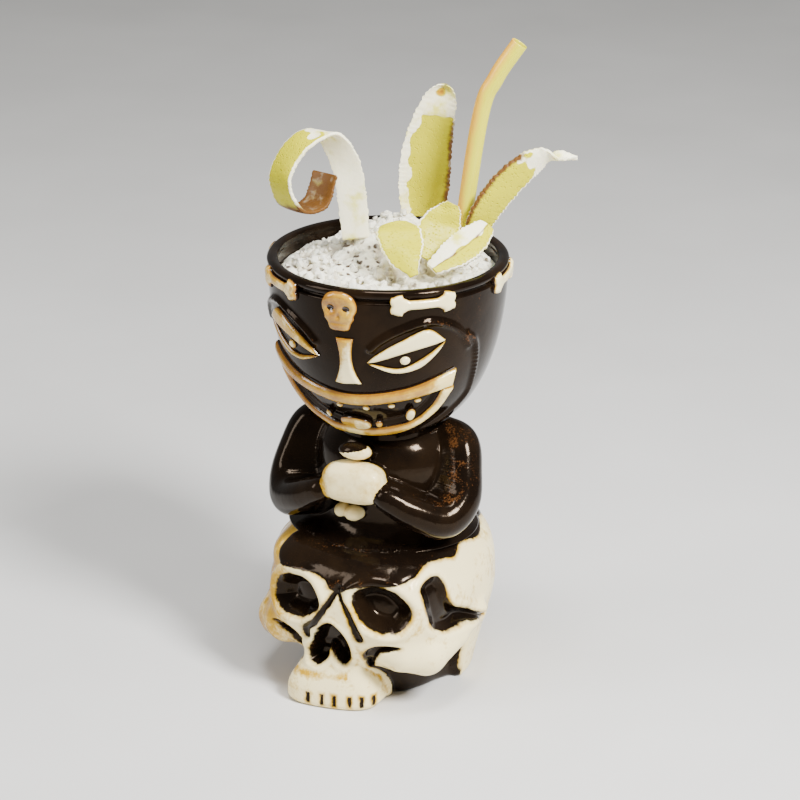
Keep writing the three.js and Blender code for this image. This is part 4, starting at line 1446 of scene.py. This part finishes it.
@dataclass
class PeelStrip:
    """One cut strip of peel: [across, back, up, width, direction of its width] at each stop of its route.

    The garnish stands turned a little about the axis, and its strips are measured before that turn.
    """

    name: str
    route: tuple
    outer: int = 1
    serrated: float = 0.6
    cup: float = 0.8
    ripe: float = 0.0
    # Dark brown: an overall browning, then painted shadow over the strip's end and over one long side.
    scorch_and_shadow: float = 0.0
    end_shadow: float = 0.0
    shadow_side: float = 0.0
    fringe: float = 0.0
    pale_tip: float = 2.0
    spot: float = 0.0
    half_pith: bool = False
    ruffle: float = 0.25
    round_tip: bool = False
    zest_from: float = -1.0
    turn: float = math.radians(23)
    thickness: float = 1.7
    tooth_pitch: float = 1.9
    stops: int = 150
    across: int = 27

    def build(self, look: bpy.types.Material) -> None:
        """Makes the strip: its width laid across a smooth route, cupped, with small teeth along both cut edges.

        Args:
            look: the material.
        """
        stops = smooth_line(self.route, self.stops)
        middle, wide, way = stops[:, :3], stops[:, 3], np.radians(stops[:, 4])
        across = np.stack([np.cos(way), np.sin(way), 0 * way], -1)
        along = np.gradient(middle, axis=0)
        along /= np.linalg.norm(along, axis=1, keepdims=True)
        across -= (across * along).sum(1, keepdims=True) * along
        across /= np.linalg.norm(across, axis=1, keepdims=True)
        out = np.cross(across, along) * self.outer
        t = np.linspace(0, 1, self.stops)
        if self.round_tip:
            wide = wide * np.sqrt(np.clip(1 - ((t - 0.88) / 0.12) ** 2, 0.0, 1)) ** (t > 0.88)
        length = np.linalg.norm(np.diff(middle, axis=0), axis=1).sum()
        uneven_step = t * length / self.tooth_pitch + 0.35 * np.sin(t * length / 2.7)
        teeth = self.serrated * np.abs(np.sin(np.pi * uneven_step)) * (0.7 + 0.3 * np.sin(t * length))
        teeth = teeth * ease(t, 0.0, 0.08)
        s = np.sin(np.linspace(-np.pi / 2, np.pi / 2, self.across))[None]
        half = wide[:, None] / 2 + (teeth[:, None] - self.serrated / 2) + 0 * s
        sag = self.cup * (1 - s**2) + self.ruffle * ripple(t[:, None] * length, s * 6, 13, 5)
        skin = middle[:, None] + across[:, None] * (s * half)[..., None] + out[:, None] * sag[..., None]
        depth = self.thickness * (0.55 + 0.45 * np.sqrt(1 - 0.92 * s**2))
        flesh = skin - out[:, None] * (depth * np.clip(wide / 5, 0.25, 1)[:, None])[..., None]
        skin, flesh = turned(skin, self.turn), turned(flesh, self.turn)
        edge = ease(np.abs(s), 0.72, 1.0) * np.ones_like(half)
        late = t[:, None]
        spot = np.exp(-(((late - self.spot) / 0.045) ** 2) - ((s + 0.15) / 0.45) ** 2) * (self.spot > 0)
        ripe = self.ripe + 0.3 * edge + 0.9 * spot
        # Painted shadow: one long side of the strip and the end of the curl are darkened brown; the cut edges brown a
        # little.
        side = ease(s * np.sign(self.shadow_side or 1), 0.35, 1.0) * abs(self.shadow_side)
        scorch_and_shadow = self.scorch_and_shadow + 0.3 * edge + side + self.end_shadow * ease(late, 0.67, 0.80) + 0.75 * spot
        scorch_and_shadow = scorch_and_shadow + 0.9 * self.half_pith * np.exp(-(((s - 0.12) / 0.14) ** 2))
        scorch_and_shadow = scorch_and_shadow * (1 - ease(late, self.pale_tip - 0.05, self.pale_tip + 0.1) * (1 - spot))
        uneven = 0.25 * ripple(late * length, s * 8, 9, 8)
        bare = ease(late + 0.4 * uneven, self.pale_tip - 0.04, self.pale_tip + 0.04)
        zest = ease(1 - np.abs(s), 0.0, 0.14) * (1 - bare) * np.ones_like(half)
        if self.fringe:
            zest = zest * ease(s + 1 + uneven, self.fringe, self.fringe + 0.12)
        zest = zest * ease(late + 0.3 * uneven, self.zest_from, self.zest_from + 0.05)
        zest = np.maximum(zest * ease(s + uneven, 0.0, 0.17) if self.half_pith else zest, spot)
        marks = {"face": zest, "ripe": ripe, "scorch_and_shadow": scorch_and_shadow}
        hidden = {"face": 0 * zest, "ripe": ripe, "scorch_and_shadow": 0.6 * scorch_and_shadow}
        settle(slab(self.name, skin, flesh, marks, False, hidden), "garnish", "citrus_peel", look, self.name)


@dataclass
class Garnish:
    """The bunch of peel strips stuck in the ice: a curl, two blades, and folded pieces between them."""

    finishes: Finishes
    # The curl's end and one side of each blade are darkened as painted shadow.
    strips: list[PeelStrip] = field(default_factory=lambda: [
        PeelStrip("peel_curl", (
            (-12, 4, 176, 10.5, 0), (-13.5, 5, 192, 11, 0), (-16, 5, 206, 11, -10), (-23, 2, 217.5, 11.5, -30),
            (-33, -3, 215, 12, -48), (-40, -7, 203, 12.5, -52), (-36, -5, 190.5, 12.5, -45), (-27, 3, 189.5, 12, -40),
            (-23, 8, 200, 11, -38)), outer=-1, cup=0.4, end_shadow=1.7, zest_from=0.41),
        PeelStrip("peel_blade_tall", (
            (13, 13, 181, 15, 0), (13.5, 12.5, 193, 19, 0), (14.5, 12, 207, 18.6, 0), (17.5, 11.5, 221, 15, 0),
            (21.5, 10.5, 233, 9.5, 0)), outer=1, cup=-1.6, fringe=0.30, pale_tip=0.74, shadow_side=0.75, spot=0.93,
            round_tip=True),
        PeelStrip("peel_blade_side", (
            (33, -6, 183, 10, 10), (37.5, -7, 192, 11.5, 10), (46, -6, 202.5, 11.5, 10), (56, -5, 209.5, 9.0, 10),
            (69.5, -4, 210, 1.5, 10)), outer=1, cup=1.2, scorch_and_shadow=0.12, shadow_side=-0.8, pale_tip=0.66),
        PeelStrip("peel_fold_left", (
            (2, -10, 186.5, 11, 5), (3.5, -15, 185.5, 16, 5), (5, -20, 182, 16, 0), (6.5, -25, 178, 12, 0),
            (9.6, -30, 172.8, 3, 0)), outer=-1, ripe=-0.35, ruffle=0.9),
        PeelStrip("peel_fold_right", (
            (13, -17.5, 175.5, 10, 20), (16.5, -12.5, 181.5, 14, 15), (20, -9, 186, 14.5, 10), (22.5, -7.5, 190, 10, 0),
            (24, -7, 193, 5, 0)), outer=1, ripe=-0.3, ruffle=0.8),
        PeelStrip("peel_strip", (
            (36.5, -10.5, 186, 7, 15), (31, -16.5, 182.5, 12, 10), (24.5, -22, 179, 12, 5), (16, -28, 175, 6, 0)),
            outer=-1, half_pith=True, ripe=0.1),
    ])

    def build(self) -> None:
        """Makes each strip."""
        for strip in self.strips:
            strip.build(self.finishes.peel)


@dataclass
class Straw:
    """A drinking straw with a soft bend near its tip: a thin tube carried along a smooth line."""

    finishes: Finishes
    radius: float = 3.1
    bore: float = 2.75
    foot: tuple = (18.2, 6.2, 118)
    bend: tuple = (32.5, 12.5, 232)
    tip: tuple = (44.5, 17, 252)
    stops: int = 150
    sides: int = 48

    def build(self) -> None:
        """Makes the tube: circles carried along the route, out along the skin and back down the bore."""
        foot, bend, tip = (np.array(p, float) for p in (self.foot, self.bend, self.tip))
        near, far = bend + (foot - bend) * 0.07, bend + (tip - bend) * 0.35
        middle = smooth_line([foot, near + (foot - near) * 0.5, near, far, tip], self.stops)
        along = np.gradient(middle, axis=0)
        along /= np.linalg.norm(along, axis=1, keepdims=True)
        aside = np.cross(along, [0, 1, 0])
        aside /= np.linalg.norm(aside, axis=1, keepdims=True)
        ahead = np.cross(aside, along)
        turn = np.linspace(0, 2 * np.pi, self.sides, endpoint=False)[None, :, None]
        ring = aside[:, None] * np.cos(turn) + ahead[:, None] * np.sin(turn)
        points = np.concatenate([middle[:, None] + ring * self.radius, (middle[:, None] + ring * self.bore)[::-1]])
        # Painted shade: orange down one side of the tube.
        orange_shade = np.broadcast_to(0.5 - 0.6 * np.cos(turn[..., 0] - 2.6), points.shape[:2])
        tube = make_piece("straw", points, grid_faces(*points.shape[:2], True, True), {"orange_shade": orange_shade.copy()})
        settle(tube, "straw", "straw_plastic", self.finishes.straw, "straw")


# ---- floor, light and camera ----


@dataclass
class Studio:
    """A plain pale floor, soft lamps, and a camera a little above the mug, in front and to its right."""

    azimuth: float = math.radians(23)
    elevation: float = math.radians(23.5)
    distance: float = 1.0
    target: tuple = (0.0, 0.0, 0.086)
    lens: float = 116.1
    shift: tuple = (0.015, 0.078)
    sky: Colour = (0.86, 0.86, 0.84)
    sky_strength: float = 0.30
    floor_dark: Colour = (0.62, 0.61, 0.59)
    floor_pale: Colour = (0.68, 0.67, 0.65)
    floor_half: float = 6.0
    lamps: tuple = (("key", 66, 44, 0.95, 0.20, 0.26, 25.0), ("fill", -50, 34, 1.3, 0.35, 0.7, 8.0),
                    ("top", 10, 80, 1.0, 0.3, 0.3, 9.0))

    def away(self, azimuth: float, elevation: float, distance: float) -> Vector:
        """A place at a direction and distance from the target."""
        flat = math.cos(elevation)
        way = Vector((math.sin(azimuth) * flat, -math.cos(azimuth) * flat, math.sin(elevation)))
        return Vector(self.target) + distance * way

    def lamp(self, name: str, azimuth: float, elevation: float, distance: float, wide: float, high: float,
             watts: float) -> None:
        """One rectangular soft lamp that faces the target; angles in degrees.

        Args:
            name: the lamp's name.
            azimuth: the direction from the front, in degrees.
            elevation: the angle above the level, in degrees.
            distance: how far it is from the target.
            wide: its width.
            high: its height.
            watts: its power.
        """
        data = bpy.data.lights.new(name, "AREA")
        data.shape, data.size, data.size_y, data.energy = "RECTANGLE", wide, high, watts
        lamp = bpy.data.objects.new(name, data)
        lamp.location = self.away(math.radians(azimuth), math.radians(elevation), distance)
        lamp.rotation_euler = (Vector(self.target) - lamp.location).to_track_quat("-Z", "Y").to_euler()
        bpy.context.scene.collection.objects.link(lamp)

    def build(self) -> None:
        """Makes the floor, the sky, the lamps and the camera."""
        n = Nodes("pale_floor")
        n.set(Base_Color=n.ramp(n.noise(6, 3), (0.3, self.floor_dark), (0.7, self.floor_pale)), Roughness=0.75)
        mesh = bpy.data.meshes.new("floor")
        half = self.floor_half
        mesh.from_pydata([(-half, -half, 0), (half, -half, 0), (half, half, 0), (-half, half, 0)], [], [(0, 1, 2, 3)])
        floor = bpy.data.objects.new("floor", mesh)
        floor.data.materials.append(n.material)
        bpy.context.scene.collection.objects.link(floor)
        world = bpy.data.worlds.new("studio")
        world.use_nodes = True
        sky = world.node_tree.nodes["Background"]
        sky.inputs["Color"].default_value = (*self.sky, 1.0)
        sky.inputs["Strength"].default_value = self.sky_strength
        bpy.context.scene.world = world
        for lamp in self.lamps:
            self.lamp(*lamp)
        camera = bpy.data.objects.new("camera", bpy.data.cameras.new("camera"))
        camera.data.lens, camera.data.sensor_width = self.lens, 36
        camera.data.shift_x, camera.data.shift_y = self.shift
        camera.data.clip_start = 0.01
        camera.location = self.away(self.azimuth, self.elevation, self.distance)
        camera.rotation_euler = (Vector(self.target) - camera.location).to_track_quat("-Z", "Y").to_euler()
        bpy.context.scene.collection.objects.link(camera)
        bpy.context.scene.camera = camera


def main() -> None:
    """Builds the mug and what it is served with, then the studio round them."""
    logging.basicConfig(level=logging.INFO, format="%(message)s")
    finishes = Finishes()
    parts = (Head(finishes), Torso(finishes), Skull(finishes), Ice(finishes), Garnish(finishes), Straw(finishes),
             Studio())
    for part in parts:
        part.build()


if __name__ == "__main__":
    main()
